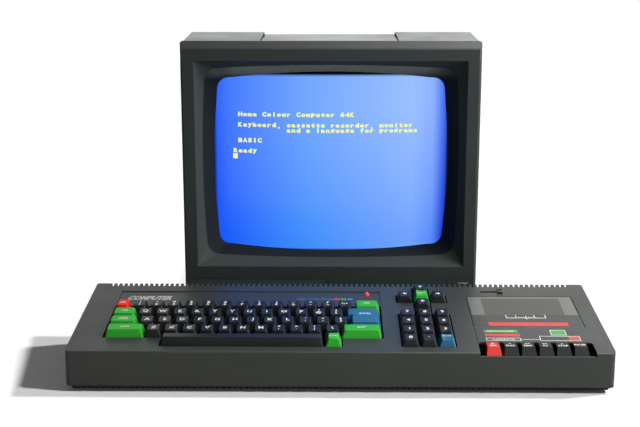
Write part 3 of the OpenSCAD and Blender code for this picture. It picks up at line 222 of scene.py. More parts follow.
def worn(name, colour, rubbed, roughness, grain, depth, gloss=0.35):
    """Plastic, rubber or ink: a grain of that width and depth in mm dulls it, and long use has rubbed
    broad patches lighter and a little smoother."""
    material, tree, place = finish(name)
    grains = add(tree, "TexNoise", {"Vector": place, "Scale": 1000 / grain, "Detail": 2.0, "Roughness": 0.6})
    patches = add(tree, "TexNoise", {"Vector": place, "Scale": 13.0, "Detail": 5.0, "Roughness": 0.6})
    wear = add(tree, "MapRange", {"Value": patches, "From Min": 0.35, "From Max": 0.7})
    speck = add(tree, "Math", {0: wear, 1: grains}, operation="MULTIPLY")
    tone = add(tree, "Mix", {0: speck, 6: linear(colour), 7: linear(rubbed)}, data_type="RGBA")
    dull = add(tree, "MapRange", {"Value": wear, "To Min": roughness + 0.04, "To Max": roughness - 0.06})
    relief = add(tree, "Bump", {"Height": grains, "Strength": 0.5, "Distance": depth / 1000})
    plastic = add(tree, "BsdfPrincipled", {
        "Base Color": tone, "Roughness": dull, "Specular IOR Level": gloss, "IOR": 1.54, "Normal": relief})
    add(tree, "OutputMaterial", {"Surface": plastic})
    return material


def dress(material, *nodes):
    """Gives CAD nodes a material in each of their slots."""
    for node in nodes:
        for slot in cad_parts[node].material_slots:
            slot.material = material


case_abs = worn("moulded_abs_case", "313431", "3a3d38", 0.44, 0.9, 0.04, 0.45)
tray_abs = worn("moulded_abs_tray", "1c1e1d", "252726", 0.55, 0.9, 0.05)
dress(case_abs, "console_top_case")
dress(tray_abs, "console_base")

# Steel screws, zinc plated: bright, cool and a little cloudy, with the plating's
# grain drawn 0.4 mm wide, coarser than the real one, so that it shows.


def metal(name, colour, cloud, roughness, grain):
    """Bare or plated metal: fine streaks of that width in mm vary its gloss, and clouds its colour."""
    material, tree, place = finish(name)
    grains = add(tree, "TexNoise", {"Vector": place, "Scale": 1000 / grain, "Detail": 3.0})
    clouds = add(tree, "TexNoise", {"Vector": place, "Scale": 60.0, "Detail": 3.0})
    tone = add(tree, "Mix", {0: clouds, 6: linear(colour), 7: linear(cloud)}, data_type="RGBA")
    dull = add(tree, "MapRange", {"Value": grains, "To Min": roughness - 0.1, "To Max": roughness + 0.1})
    relief = add(tree, "Bump", {"Height": grains, "Strength": 0.15, "Distance": 0.00002})
    plating = add(tree, "BsdfPrincipled", {
        "Base Color": tone, "Metallic": 1.0, "Roughness": dull, "Normal": relief})
    add(tree, "OutputMaterial", {"Surface": plating})
    return material


zinc_steel = metal("zinc_plated_steel", "b9bcbd", "a3a8ac", 0.35, 0.4)
dress(zinc_steel, "case_screws")

# Feet are moulded rubber discs: black, dull, with a dusty bloom.
rubber = worn("moulded_rubber", "161616", "222221", 0.78, 0.6, 0.05, 0.2)
dress(rubber, "rubber_feet")

# ---------- Key caps ----------
# Hollow ABS caps with square stems, all in mm on the deck. Each cap tapers to
# a smaller top with rounded edges, dished across on the single keys, and
# carries white legends.
pitch, gap = 19.05, 0.9
skirt = pitch - gap
skirt_h, stem_h, stem_half = -2.0, -14.7, 2.5
cap_wall, roof_t, cap_taper = 1.2, 2.4, (6.0, 4.8)
dish_depth, dish_r = 0.8, 24.0
row_bodies = {1: "lower_row_keys", 2: "home_row_keys", 3: "upper_row_keys", 4: "number_row_keys"}
row_s = [21.95 + i * pitch for i in range(5)]
row_h = [8.0, 8.3, 8.6, 8.9, 9.5]
first_x = [0.0, -197.92, -208.02, -212.72, -222.2]
row_count = [0, 11, 12, 12, 13]
key_left, key_right = -249.5, 45.27
front_y, deck_z, slope = -290.0, 44.0, math.atan(28 / 169)


def on_deck(points):
    """Deck frame to room: (x, s, h) in mm, s up the slope and h out of it, to metres. y runs as s times
    the cosine less h times the sine of the slope, and z as s times the sine plus h times the cosine."""
    x, s, h = np.moveaxis(np.asarray(points, float), -1, 0)
    y = front_y + s * math.cos(slope) - h * math.sin(slope)
    z = deck_z + s * math.sin(slope) + h * math.cos(slope)
    return np.stack([x, y, z], -1) / 1000


def block(x0, x1, s0, s1):
    """Corners of a rectangle, anticlockwise, each with the way it moves when the outline shrinks."""
    return np.array([(x1, s0, -1, 1), (x1, s1, -1, -1), (x0, s1, 1, -1), (x0, s0, 1, 1)], float)


def ring(corners, inset_x, inset_s, radius, arc=5, side=6):
    """Outline with rounded corners, as points: a corner P between directions a and b becomes the quarter
    arc P - r a + r b + r (a sin t - b cos t), and evenly spaced points join the arcs."""
    p = corners[:, :2] + corners[:, 2:] * (inset_x, inset_s)
    a = p - np.roll(p, 1, 0)
    a /= np.linalg.norm(a, axis=1, keepdims=True)
    b = np.roll(a, -1, 0)
    t = np.linspace(0, math.pi / 2, arc)[None, :, None]
    arcs = (p + radius * (b - a))[:, None] + radius * (a[:, None] * np.sin(t) - b[:, None] * np.cos(t))
    k = np.linspace(0, 1, side + 2)[1:-1][None, :, None]
    ends = arcs[:, -1:]
    sides = ends + (np.roll(arcs[:, :1], -1, 0) - ends) * k
    return np.concatenate([arcs, sides], 1).reshape(-1, 2)


def skin(rings):
    """Points and faces of closed skins over rings (pieces, levels, around, 3): quads join each level to
    the next, and a fan closes the first and the last on their middles. Rings run anticlockwise and levels
    climb, so faces look out."""
    pieces, levels, around, _ = rings.shape
    index = np.arange(pieces * levels * around).reshape(pieces, levels, around)
    after = np.roll(index, -1, 2)
    quads = np.stack([index[:, :-1], after[:, :-1], after[:, 1:], index[:, 1:]], -1).reshape(-1, 4)
    low = np.broadcast_to((index.size + np.arange(pieces))[:, None], (pieces, around))
    fans = np.concatenate([
        np.stack([after[:, 0], index[:, 0], low], -1).reshape(-1, 3),
        np.stack([index[:, -1], after[:, -1], low + pieces], -1).reshape(-1, 3)])
    points = np.concatenate([rings.reshape(-1, 3), rings[:, 0].mean(1), rings[:, -1].mean(1)])
    return points, quads.tolist() + fans.tolist()


def cap_rings(corners, h, taper_x, taper_s, dish, mid, radius=1.5, edge=0.9):
    """Rings of a key cap from its stem's foot, up inside, round the skirt's rim and up outside to the top.
    The walls lean in evenly with height, the top edge is a quarter round, and dish(x) is how far the top
    sinks at x."""
    tall, roof = h - skirt_h, h - roof_t
    lean = lambda z: ((z - skirt_h) / tall * taper_x / 2, (z - skirt_h) / tall * taper_s / 2)
    stem = block(mid[0] - stem_half, mid[0] + stem_half, mid[1] - stem_half, mid[1] + stem_half)
    if len(corners) == 6:
        # The stepped outline has two corners more, so its stem gets two more on its left side.
        notch = [stem[2] + (0, -2.4, 0, 0), stem[2] + (0, -2.6, 0, 0)]
        stem = np.concatenate([stem[:3], notch, stem[3:]])
    inner = lean(roof)
    levels = [
        (ring(stem, 0, 0, 0.05), stem_h), (ring(stem, 0, 0, 0.05), roof),
        (ring(corners, inner[0] + cap_wall, inner[1] + cap_wall, radius * 0.6), roof),
        (ring(corners, cap_wall, cap_wall, 0.6), skirt_h), (ring(corners, 0, 0, 1.0), skirt_h)]
    for z in (skirt_h + 0.5 * tall, h - edge - 0.6):
        levels.append((ring(corners, *lean(z), radius * (z - skirt_h) / tall * 0.6 + 0.8), z))
    lean_x, lean_s = lean(h - edge)
    for t in np.linspace(0, math.pi / 2, 4):
        step = edge * (1 - math.cos(t)) * 0.8
        levels.append((ring(corners, lean_x + step, lean_s + step, radius), h - edge * (1 - math.sin(t))))
    outer = levels[-1][0]
    for k in (0.8, 0.5, 0.2):
        levels.append((np.asarray(mid) + (outer - mid) * k, h))
    rings = np.stack([np.column_stack([flat, np.full(len(flat), z)]) for flat, z in levels])
    top = rings[-7:]
    top[..., 2] -= dish(top[..., 0] - mid[0])
    return rings


def cylinder_dish(x):
    """Sink of a cylindrical dish: its depth at the middle less the rise of the circle at x."""
    return np.clip(dish_depth - dish_r + np.sqrt(dish_r ** 2 - np.clip(x, -12, 12) ** 2), 0, None)


def flat_top(x):
    """Sink of the wide caps' tops: none."""
    return np.zeros_like(x)


def made(name, points, faces, material, body, *nodes):
    """A finished piece in a material that rides on a body and stands for CAD nodes."""
    piece = sheet_mesh(name, points, faces)
    piece.data.materials.append(material)
    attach(piece, body)
    if nodes:
        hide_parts(*nodes)
    return piece


def caps(name, material, body, keys):
    """Caps of one body in one piece; keys holds corners, height, tapers, dish and middle for each."""
    rings = np.stack([cap_rings(*key) for key in keys])
    points, faces = skin(rings)
    piece = made(name, on_deck(points), faces, material, body, body)


def square_key(x, s, h):
    """Cap of a single key about its centre, dished."""
    half = skirt / 2
    return (block(x - half, x + half, s - half, s + half), h, *cap_taper, cylinder_dish, (x, s))


def wide_key(x0, x1, s, h):
    """Cap of a wide key between two edges, flat on top."""
    return (block(x0, x1, s - skirt / 2, s + skirt / 2), h, *cap_taper, flat_top, ((x0 + x1) / 2, s))


def row_x(row, i):
    """Middle of the key at place i of a row."""
    return first_x[row] + i * pitch


def row_begin(row):
    """Right edge of the wide key at the left end of a row."""
    return first_x[row] - skirt / 2 - gap


def row_end(row):
    """Right edge of the last single key of a row."""
    return first_x[row] + (row_count[row] - 1) * pitch + skirt / 2


# Black, green, red and blue ABS, moulded in its colour. Fingers have polished
# the black and the blue caps most; they mirror the lit screen a little.
key_black = worn("moulded_abs_key_black", "17191a", "212324", 0.38, 0.7, 0.02, 0.36)
key_green = worn("moulded_abs_key_green", "2ea52d", "3aae3a", 0.42, 0.7, 0.02, 0.22)
key_red = worn("moulded_abs_key_red", "ea2414", "f03222", 0.42, 0.7, 0.02, 0.22)
key_blue = worn("moulded_abs_key_blue", "1c5a7c", "286a8e", 0.38, 0.7, 0.02, 0.5)

for row, body in row_bodies.items():
    caps(body.replace("keys", "caps"), key_black, body,
         [square_key(row_x(row, i), row_s[row], row_h[row]) for i in range(row_count[row])])

# The wide keys: body, legend, left and right edge, row.
control_x, control_w = -5.94, 17.0
wide_keys = (
    ("escape_key", "ESC", key_left, row_begin(4), 4), ("tab_key", "TAB", key_left, row_begin(3), 3),
    ("caps_lock_key", "CAPS\nLOCK", key_left, row_begin(2), 2),
    ("left_shift_key", "SHIFT", key_left, row_begin(1), 1),
    ("delete_key", "DEL", row_end(4) + gap, key_right, 4),
    ("right_shift_key", "SHIFT", row_end(1) + gap, key_right, 1),
    ("control_key", "CTRL", control_x - control_w / 2, control_x + control_w / 2, 0))
for body, _, x0, x1, row in wide_keys:
    plastic, slot = (key_red, "key_red") if body == "escape_key" else (key_green, "key_green")
    caps(body.replace("key", "cap"), plastic, body, [wide_key(x0, x1, row_s[row], row_h[row])])

# The space bar is narrower from front to back and leans in more that way.
space_x0, space_x1, space_d = -187.4, -17.0, 15.6
space_corners = block(space_x0, space_x1, row_s[0] - space_d / 2, row_s[0] + space_d / 2)
space_mid = ((space_x0 + space_x1) / 2, row_s[0])
caps("space_bar_cap", key_black, "space_bar",
     [(space_corners, row_h[0], 4.0, space_d * 0.45, flat_top, space_mid, 1.0, 1.1)])

# ENTER is stepped: its upper row reaches less far to the left than its lower.
enter_low, enter_high = row_end(2) + gap, row_end(3) + gap
enter_s0, enter_s1, step_s = row_s[2] - skirt / 2, row_s[3] + skirt / 2, row_s[3] - skirt / 2
enter_corners = np.array([
    (key_right, enter_s0, -1, 1), (key_right, enter_s1, -1, -1), (enter_high, enter_s1, 1, -1),
    (enter_high, step_s, 1, 1), (enter_low, step_s, 1, 1), (enter_low, enter_s0, 1, 1)], float)
enter_mid = ((enter_low + key_right) / 2, (row_s[2] + row_s[3]) / 2)
caps("enter_cap", key_blue, "enter_key",
     [(enter_corners, row_h[2], *cap_taper, flat_top, enter_mid, 1.2)])

# The number pad has four rows of single keys; the last of the front row is its
# own ENTER.
pad_x = [74.87, 93.92, 112.97]
pad_s = [22.2, 41.25, 60.3, 79.35]
pad_h = [7.5, 8.0, 8.6, 9.4]
pad_text = [["0", "."], ["1", "2", "3"], ["4", "5", "6"], ["7", "8", "9"]]
caps("keypad_caps", key_black, "keypad_keys",
     [square_key(pad_x[i], pad_s[j], pad_h[j]) for j, line in enumerate(pad_text) for i in range(len(line))])
caps("keypad_enter_cap", key_blue, "keypad_enter_key", [square_key(pad_x[2], pad_s[0], pad_h[0])])

# Four cursor keys stand round a taller COPY key.
cursor_s, cursor_h, copy_h = 128.4, 8.0, 8.8
cursors = [(pad_x[1], cursor_s + pitch), (pad_x[1], cursor_s - pitch),
           (pad_x[0], cursor_s), (pad_x[2], cursor_s)]
caps("cursor_caps", key_black, "cursor_keys", [square_key(x, s, cursor_h) for x, s in cursors])
caps("copy_cap", key_green, "copy_key", [square_key(pad_x[1], cursor_s, copy_h)])

# Legends are printed on the caps in a thick white ink, a twentieth of a
# millimetre proud, and follow the dish of each top.
ink_white = worn("screen_printed_ink_white", "dcdcd6", "efefea", 0.5, 0.5, 0.02, 0.3)
capital, line_space, proud, sunk = 0.729, 0.62, 0.05, 0.15
words = {}


def word(text, weight=0.0):
    """Flat outline of a text with capitals 1 high, centred on its middle and bolder by weight: points
    (x, y, side) and faces, kept by text."""
    if (text, weight) not in words:
        curve = bpy.data.curves.new("word", "FONT")
        curve.body = text
        curve.size = 1 / capital
        curve.extrude = 0.005
        curve.offset = weight
        curve.resolution_u = 2
        curve.align_x = "CENTER"
        curve.space_line = line_space
        carrier = bpy.data.objects.new("word", curve)
        mesh = bpy.data.meshes.new_from_object(carrier)
        points = np.zeros(len(mesh.vertices) * 3)
        mesh.vertices.foreach_get("co", points)
        points = points.reshape(-1, 3)
        points[:, :2] -= (points[:, :2].min(0) + points[:, :2].max(0)) / 2
        words[text, weight] = points, [list(face.vertices) for face in mesh.polygons]
        bpy.data.objects.remove(carrier)
        bpy.data.meshes.remove(mesh)
        bpy.data.curves.remove(curve)
    return words[text, weight]


def gather(shapes):
    """Joins (points, faces) pairs into one pair."""
    points, faces, count = [], [], 0
    for some, polygons in shapes:
        points.append(some)
        faces += [[corner + count for corner in polygon] for polygon in polygons]
        count += len(some)
    return np.concatenate(points), faces


def lettering(name, material, body, texts, map_to=on_deck, weight=0.0):
    """Texts of one body in one piece; each is (text, x, y, capital height, width factor, height at x)
    in mm."""
    shapes = []
    for text, x, y, size, wide, height in texts:
        flat, polygons = word(text, weight)
        across = x + flat[:, 0] * size * wide
        out = height(across) + np.where(flat[:, 2] > 0, proud, -sunk)
        shapes.append((np.stack([across, y + flat[:, 1] * size, out], -1), polygons))
    points, faces = gather(shapes)
    piece = made(name, map_to(points), faces, material, body)


def at_top(h, x, dish=cylinder_dish):
    """Height of a cap's top at any place across it."""
    return lambda across: h - dish(across - x)


# Capital height and width factor of a character alone on its cap, of the lower
# and the upper of two, and on the number pad; the words' capitals are 2.7 high.
alone, lower, upper, on_pad, word_h = (5.4, 1.08), (4.3, 1.05), (4.0, 1.05), (5.2, 1.1), 2.7
bold, medium = 0.045, 0.02
legends = {
    1: "Z X C V B N M , . / \\".split(),
    2: "A S D F G H J K L : ; ]".split(),
    3: "Q W E R T Y U I O P @ [".split(),
    4: "1 2 3 4 5 6 7 8 9 0 - ^".split()}
shifted = {
    1: [""] * 7 + ["<", ">", "?", ""], 2: [""] * 9 + ["*", "+", "}"], 3: [""] * 10 + ["|", "{"],
    4: "! \" # $ % & ' ( ) _ = £".split()}
for row, body in row_bodies.items():
    texts = []
    for i, (text, second) in enumerate(zip(legends[row], shifted[row])):
        x, top = row_x(row, i), at_top(row_h[row], row_x(row, i))
        if second:
            texts.append((text, x, row_s[row] - 2.8, *lower, top))
            texts.append((second, x, row_s[row] + 3.0, *upper, top))
        else:
            texts.append((text, x, row_s[row], *alone, top))
    if row == 4:
        x = row_x(4, 12)
        texts.append(("CLR", x, row_s[4], word_h, 1.0, at_top(row_h[4], x)))
    lettering(body.replace("keys", "legends"), ink_white, body, texts, weight=bold)

for body, text, x0, x1, row in wide_keys:
    x = (x0 + x1) / 2
    lettering(body.replace("key", "legend"), ink_white, body,
              [(text, x, row_s[row], word_h, 1.05, at_top(row_h[row], x, flat_top))],
              weight=medium)
lettering("enter_legend", ink_white, "enter_key",
          [("ENTER", enter_mid[0], enter_mid[1] + 4, 2.9, 1.1, at_top(row_h[2], 0, flat_top))],
          weight=medium)
lettering("keypad_legends", ink_white, "keypad_keys",
          [(text, pad_x[i], pad_s[j], *on_pad, at_top(pad_h[j], pad_x[i]))
           for j, line in enumerate(pad_text) for i, text in enumerate(line)], weight=bold)
lettering("keypad_enter_legend", ink_white, "keypad_enter_key",
          [("ENTER", pad_x[2], pad_s[0] + 2.5, 2.4, 0.95, at_top(pad_h[0], pad_x[2]))],
          weight=medium)
lettering("copy_legend", ink_white, "copy_key",
          [("COPY", pad_x[1], cursor_s, 2.6, 1.0, at_top(copy_h, pad_x[1]))], weight=medium)

# Arrows on the cursor keys: a triangle on a short bar, one for each way, that
# is up, down, left and right.
tip, neck, bar = 2.6, -0.2, 0.8
arrow = np.array([(0, tip), (-tip, neck), (-bar, neck), (-bar, -tip), (bar, -tip), (bar, neck), (tip, neck)])
ways = np.array([[(1, 0), (0, 1)], [(-1, 0), (0, -1)], [(0, 1), (-1, 0)], [(0, -1), (1, 0)]], float)
flat = np.einsum("kba,nb->kna", ways, arrow)
arrow_rings = np.zeros((len(ways), 2, len(arrow), 3))
for k, (x, s) in enumerate(cursors):
    top = cursor_h - cylinder_dish(flat[k, :, 0])
    arrow_rings[k, 0] = np.column_stack([flat[k] + (x, s), top - sunk])
    arrow_rings[k, 1] = np.column_stack([flat[k] + (x, s), top + proud])
index = np.arange(arrow_rings[..., 0].size).reshape(arrow_rings.shape[:3])
after = np.roll(index, -1, 2)
faces = np.stack([index[:, 0], after[:, 0], after[:, 1], index[:, 1]], -1).reshape(-1, 4).tolist()
faces += index[:, 1].tolist() + index[:, 0, ::-1].tolist()
arrows = made("cursor_arrows", on_deck(arrow_rings), faces, ink_white, "cursor_keys")

# ---------- Under the keys ----------
# A black polystyrene plate guides the stems over a phenolic contact board; the
# plate is dull and even, and the board is brown with a resin gloss.
guide_plastic = worn("moulded_polystyrene_guide", "141516", "1c1d1f", 0.5, 1.0, 0.03, 0.3)
dress(guide_plastic, "key_guide_plate")
phenolic = worn("pressed_phenolic_board", "7a5226", "8a6230", 0.45, 1.4, 0.03, 0.4)
dress(phenolic, "contact_board")

# The main board is glass fibre under green solder resist, and copper tracks
# 1.2 mm wide show through. All that stands higher than its top, which is given
# in metres, has the look of black epoxy: its chips, and the monitor's boards.
board_top, track_half, track_run, track_pitch = 0.0138, 0.0006, 0.021, 0.0024
resist, tree, place = finish("solder_resist_on_glass_fibre")
where = add(tree, "SeparateXYZ", {"Vector": place})
tracks = add(tree, "TexBrick", {
    "Vector": place, "Scale": 1.0, "Mortar Size": track_half, "Brick Width": track_run,
    "Row Height": track_pitch, "Color1": linear("1d4a2b"), "Color2": linear("245a34"),
    "Mortar": linear("3d7a45")})
above = add(tree, "Math", {0: where.outputs["Z"], 1: board_top}, operation="GREATER_THAN")
mottle = add(tree, "TexNoise", {"Vector": place, "Scale": 900.0, "Detail": 2.0})
epoxy = add(tree, "Mix", {0: mottle, 6: linear("141415"), 7: linear("232324")}, data_type="RGBA")
tone = add(tree, "Mix", {0: above, 6: tracks.outputs["Color"], 7: epoxy}, data_type="RGBA")
dull = add(tree, "MapRange", {"Value": above, "To Min": 0.28, "To Max": 0.55})
relief = add(tree, "Bump", {"Height": tracks.outputs["Fac"], "Strength": 0.3, "Distance": 0.00003})
laminate = add(tree, "BsdfPrincipled", {
    "Base Color": tone, "Roughness": dull, "Normal": relief, "Coat Weight": 0.2})
add(tree, "OutputMaterial", {"Surface": laminate})
dress(resist, "main_circuit_board", "neck_board", "monitor_chassis_board")

# Rear sockets are glass-filled nylon, black with a faint speckle. The
# loudspeaker has a dark paper cone, felted and pressed in rings about its middle.
nylon = worn("glass_filled_nylon", "1b1c1d", "2a2b2c", 0.55, 0.5, 0.03, 0.35)
dress(nylon, "rear_sockets")
cone_x, cone_y = -0.243, -0.165
cone, tree, place = finish("pressed_paper_cone")
centred = add(tree, "Mapping", {"Vector": place, "Location": (-cone_x, -cone_y, 0.0)})
ribs = add(tree, "TexWave", {"Vector": centred, "Scale": 55.0, "Distortion": 0.3},
           wave_type="RINGS", rings_direction="Z")
felt = add(tree, "TexNoise", {"Vector": place, "Scale": 800.0, "Detail": 4.0})
tone = add(tree, "Mix", {0: felt, 6: linear("242322"), 7: linear("3a3835")}, data_type="RGBA")
relief = add(tree, "Bump", {"Height": ribs.outputs["Fac"], "Strength": 0.4, "Distance": 0.0004})
paper = add(tree, "BsdfPrincipled", {"Base Color": tone, "Roughness": 0.85, "Normal": relief})
add(tree, "OutputMaterial", {"Surface": paper})
dress(cone, "loudspeaker")

# The lamp in the deck is a red diffusing epoxy lens with a lit chip inside, so
# it looks milky and glows evenly.
lens, tree, place = finish("diffusing_epoxy_red")
haze = add(tree, "TexNoise", {"Vector": place, "Scale": 700.0, "Detail": 2.0})
tone = add(tree, "Mix", {0: haze, 6: linear("e0203a"), 7: linear("f04a60")}, data_type="RGBA")
lit_lens = add(tree, "BsdfPrincipled", {
    "Base Color": tone, "Roughness": 0.25, "Emission Color": tone, "Emission Strength": 0.45})
add(tree, "OutputMaterial", {"Surface": lit_lens})
dress(lens, "power_lamp")
dress(key_black, "volume_wheel", "power_switch_slider", "counter_reset_button")

# ---------- Prints on the deck ----------
# Coloured bars and fine white frames are screen printed beside the recorder
# and over the keyboard, a few hundredths of a millimetre thick and matt.


def plates(name, material, body, boxes, thick=0.06, radius=0.3, base=0.0):
    """Thin printed rectangles (x0, x1, s0, s1) on the deck as closed plates, sunk a little into it."""
    rings = []
    for box in boxes:
        flat = ring(block(*box), 0, 0, min(radius, (box[1] - box[0]) / 3, (box[3] - box[2]) / 3), 3, 1)
        rings.append([np.column_stack([flat, np.full(len(flat), base + z)]) for z in (-sunk, thick)])
    points, faces = skin(np.array(rings))
    piece = made(name, on_deck(points), faces, material, body)


def frame_lines(x0, x1, s0, s1, line):
    """Four bars that frame a rectangle."""
    return [(x0, x1, s0, s0 + line), (x0, x1, s1 - line, s1), (x0, x0 + line, s0 + line, s1 - line),
            (x1 - line, x1, s0 + line, s1 - line)]


def level(h):
    """Height of a flat place: h wherever it is asked."""
    return lambda across: 0 * across + h


# Boxes are (left, right, front, rear) in mm on the deck.
ink_red = worn("screen_printed_ink_red", "cb4140", "d5504e", 0.5, 0.5, 0.02, 0.3)
ink_green = worn("screen_printed_ink_green", "4f9150", "5a9c5b", 0.5, 0.5, 0.02, 0.3)
line, fine_line, ink_t, white_t = 0.7, 0.5, 0.06, 0.09
red_bar, red_patch = (155, 192, 37, 43), (242.6, 253.0, 28.6, 36.6)
green_bar, green_patch = (155, 191, 46, 52), (226.3, 241.2, 40.8, 51.2)
word_frame, green_frame, red_frame = (155, 191.5, 27, 33.5), (225.5, 242, 40, 52), (212, 254.6, 27.3, 38)
rule, dark_frame = (191.5, 212, 29.9, 30.5), (244, 249.5, 41, 46.5)
dot, door_bar = (195.0, 198.2, 55.6, 57.8), (162.5, 248.7, 62, 70)
plates("deck_red_prints", ink_red, "computer", [red_bar, red_patch])
plates("deck_green_prints", ink_green, "computer", [green_bar, green_patch])
plates("deck_white_frames", ink_white, "computer",
       frame_lines(*word_frame, line) + frame_lines(*green_frame, line) + frame_lines(*red_frame, line)
       + [rule], thick=white_t)
plates("deck_dark_frame", key_black, "computer", frame_lines(*dark_frame, fine_line))
plates("door_red_bar", ink_red, "cassette_door", [door_bar])
plates("deck_dot", key_black, "computer", [dot])

# The tape scale over the door's window: a base line, a short stem below it and
# ticks of (left edge, height) above it.
tick_w, scale_x0, scale_x1, scale_s, stem_x, stem_s = 0.9, 183.6, 227.6, 81.6, 205.3, 77.4
ticks = ((183.6, 6.6), (194.4, 6.6), (197.7, 1.6), (200.3, 1.6), (202.9, 1.6), (205.3, 4.6), (207.9, 1.6),
         (210.6, 1.6), (214.6, 6.6), (226.7, 6.6))
scale_base = [(scale_x0, scale_x1, scale_s - 1.0, scale_s), (stem_x, stem_x + tick_w, stem_s, scale_s - 1.0)]
plates("door_tape_scale", ink_white, "cassette_door",
       scale_base + [(x, x + tick_w, scale_s, scale_s + tall) for x, tall in ticks])

lettering("deck_lettering", ink_white, "computer",
          [("CASSETTE", 173.2, 30.2, 3.0, 1.3, level(0.0)),
           ("RECORDER", 173.0, 49.0, 3.2, 1.3, level(ink_t))], weight=0.01)

# Above the keyboard the recessed strip carries generic slanting lettering and
# the three colours that the screen mixes.
ink_silver = worn("screen_printed_ink_silver", "a8aaa8", "bcbebc", 0.45, 0.5, 0.02, 0.4)
ink_blue = worn("screen_printed_ink_blue", "4670c4", "5580d0", 0.5, 0.5, 0.02, 0.3)
strip_depth, name_s, slant = -1.0, 131.5, 0.3
dash_x, dash_w, dash_step, dash_s0, dash_s1 = -5.4, 6.2, 7.6, 127.4, 132.0


def slanted(points):
    """Deck frame to room, with x moved on by the slant times the way up from the name's middle line."""
    return on_deck(points + np.outer(points[:, 1] - name_s, (slant, 0, 0)))


lettering("strip_lettering", ink_silver, "computer",
          [("COMPUTER", -216.0, name_s, 9.6, 0.72, level(strip_depth))], slanted,
          weight=0.07)
lettering("strip_small_lettering", ink_blue, "computer",
          [("64K COLOUR", -27.0, 129.8, 4.6, 1.1, level(strip_depth))], weight=0.01)
for i, (colour, ink) in enumerate((("red", ink_red), ("green", ink_green), ("blue", ink_blue))):
    x = dash_x + i * dash_step
    plates("strip_" + colour + "_dash", ink, "computer", [(x, x + dash_w, dash_s0, dash_s1)],
           base=strip_depth)

# ---------- Cassette recorder ----------
# The door is the case's own ABS. A window of smoked acrylic is let into it, scuffed and cloudy, and painted
# darker in its middle: a painted shade of the dark bay behind it.
dress(case_abs, "cassette_door")
dress(tray_abs, "cassette_carrier")

# In metres: the window's middle, and half the width and the rear edge of the painted shade.
window_x, shade_half, shade_rear, fade = 0.2058, 0.0438, -0.1618, 0.001
window, tree, place = finish("smoked_acrylic")
scuffs = add(tree, "TexNoise", {"Vector": place, "Scale": 260.0, "Detail": 5.0, "Roughness": 0.7})
haze = add(tree, "MapRange", {"Value": scuffs, "To Min": 0.24, "To Max": 0.34})
tone = add(tree, "Mix", {0: scuffs, 6: linear("757672"), 7: linear("7e7f7a")}, data_type="RGBA")
where = add(tree, "SeparateXYZ", {"Vector": place})
off_middle = add(tree, "Math", {0: where.outputs["X"], 1: window_x}, operation="SUBTRACT")
aside = add(tree, "Math", {0: off_middle}, operation="ABSOLUTE")
within = add(tree, "MapRange", {
    "Value": aside, "From Min": shade_half, "From Max": shade_half + fade,
    "To Min": 1.0, "To Max": 0.0})
short = add(tree, "MapRange", {
    "Value": where.outputs["Y"], "From Min": shade_rear, "From Max": shade_rear + fade,
    "To Min": 1.0, "To Max": 0.0})
painted_shade = add(tree, "Math", {0: within, 1: short}, operation="MULTIPLY")
# Painted shade: the middle of the window is darkened to a dull olive grey.
seen = add(tree, "Mix", {0: painted_shade, 6: tone, 7: linear("4a4c43")}, data_type="RGBA")
acrylic = add(tree, "BsdfPrincipled", {
    "Base Color": seen, "Roughness": haze, "IOR": 1.49, "Transmission Weight": 0.35,
    "Specular IOR Level": 0.4})
add(tree, "OutputMaterial", {"Surface": acrylic})
dress(window, "cassette_window")

# Inside, the chassis is zinc plated, the motor's can nickel plated and the head
# sledge chromed. The flywheel is turned brass and glints yellow, the spindles
# are pale, waxy acetal, and the pinch roller and the belt are dull black rubber.
dress(zinc_steel, "tape_chassis")
motor_can = metal("nickel_plated_can", "a6a7a6", "949695", 0.32, 0.5)
dress(motor_can, "tape_motor")
chrome = metal("polished_chrome", "c9cbc9", "bdbfbe", 0.22, 0.6)
dress(chrome, "head_sledge")
brass = metal("turned_brass", "b79d62", "a98f56", 0.34, 0.5)
dress(brass, "flywheel")
acetal = worn("moulded_acetal", "cfcdc2", "dbd9ce", 0.42, 0.8, 0.02, 0.4)
dress(acetal, "take_up_spindle", "supply_spindle")
dress(rubber, "pinch_roller", "drive_belt")

# Piano keys of the recorder: ABS wedges on a rod, dull from use, with a symbol
# and a word printed on each flat top.
piano_red = worn("moulded_abs_piano_key_red", "ba150c", "c22016", 0.46, 0.7, 0.02, 0.2)
dress(piano_red, "record_key")
piano_black = worn("moulded_abs_piano_key_black", "0c0e0f", "151718", 0.46, 0.7, 0.02, 0.12)
dress(piano_black, "play_key", "rewind_key", "fast_forward_key", "stop_eject_key", "pause_key")
piano_x, piano_pitch = 160.3, 18.1
piano_y, piano_z, piano_rise = 10.2, 47.2, 0.7 / 13


def on_piano_key(points):
    """Flat tops of the piano keys to room: (x, y from the console's front, height above the top) in mm, to
    metres. z is the top's at its front edge, plus its rise for each mm behind that, plus the height."""
    x, y, h = np.moveaxis(np.asarray(points, float), -1, 0)
    return np.stack([x, y + front_y, piano_z + (y - piano_y) * piano_rise + h], -1) / 1000


for i, (body, text, mark) in enumerate((
        ("record_key", "REC", "O"), ("play_key", "PLAY", ">"), ("rewind_key", "REW", "<<"),
        ("fast_forward_key", "F.F", ">>"), ("stop_eject_key", "STOP", "^"), ("pause_key", "PAUSE", ""))):
    x = piano_x + piano_pitch * i
    texts = [(text, x, 14.0 if mark else 17.0, 3.7, 0.82, level(0.0))]
    if mark:
        texts.append((mark, x, 19.6, 3.2, 1.1, level(0.0)))
    lettering(body.replace("key", "label"), ink_white, body, texts, on_piano_key,
              weight=0.04)

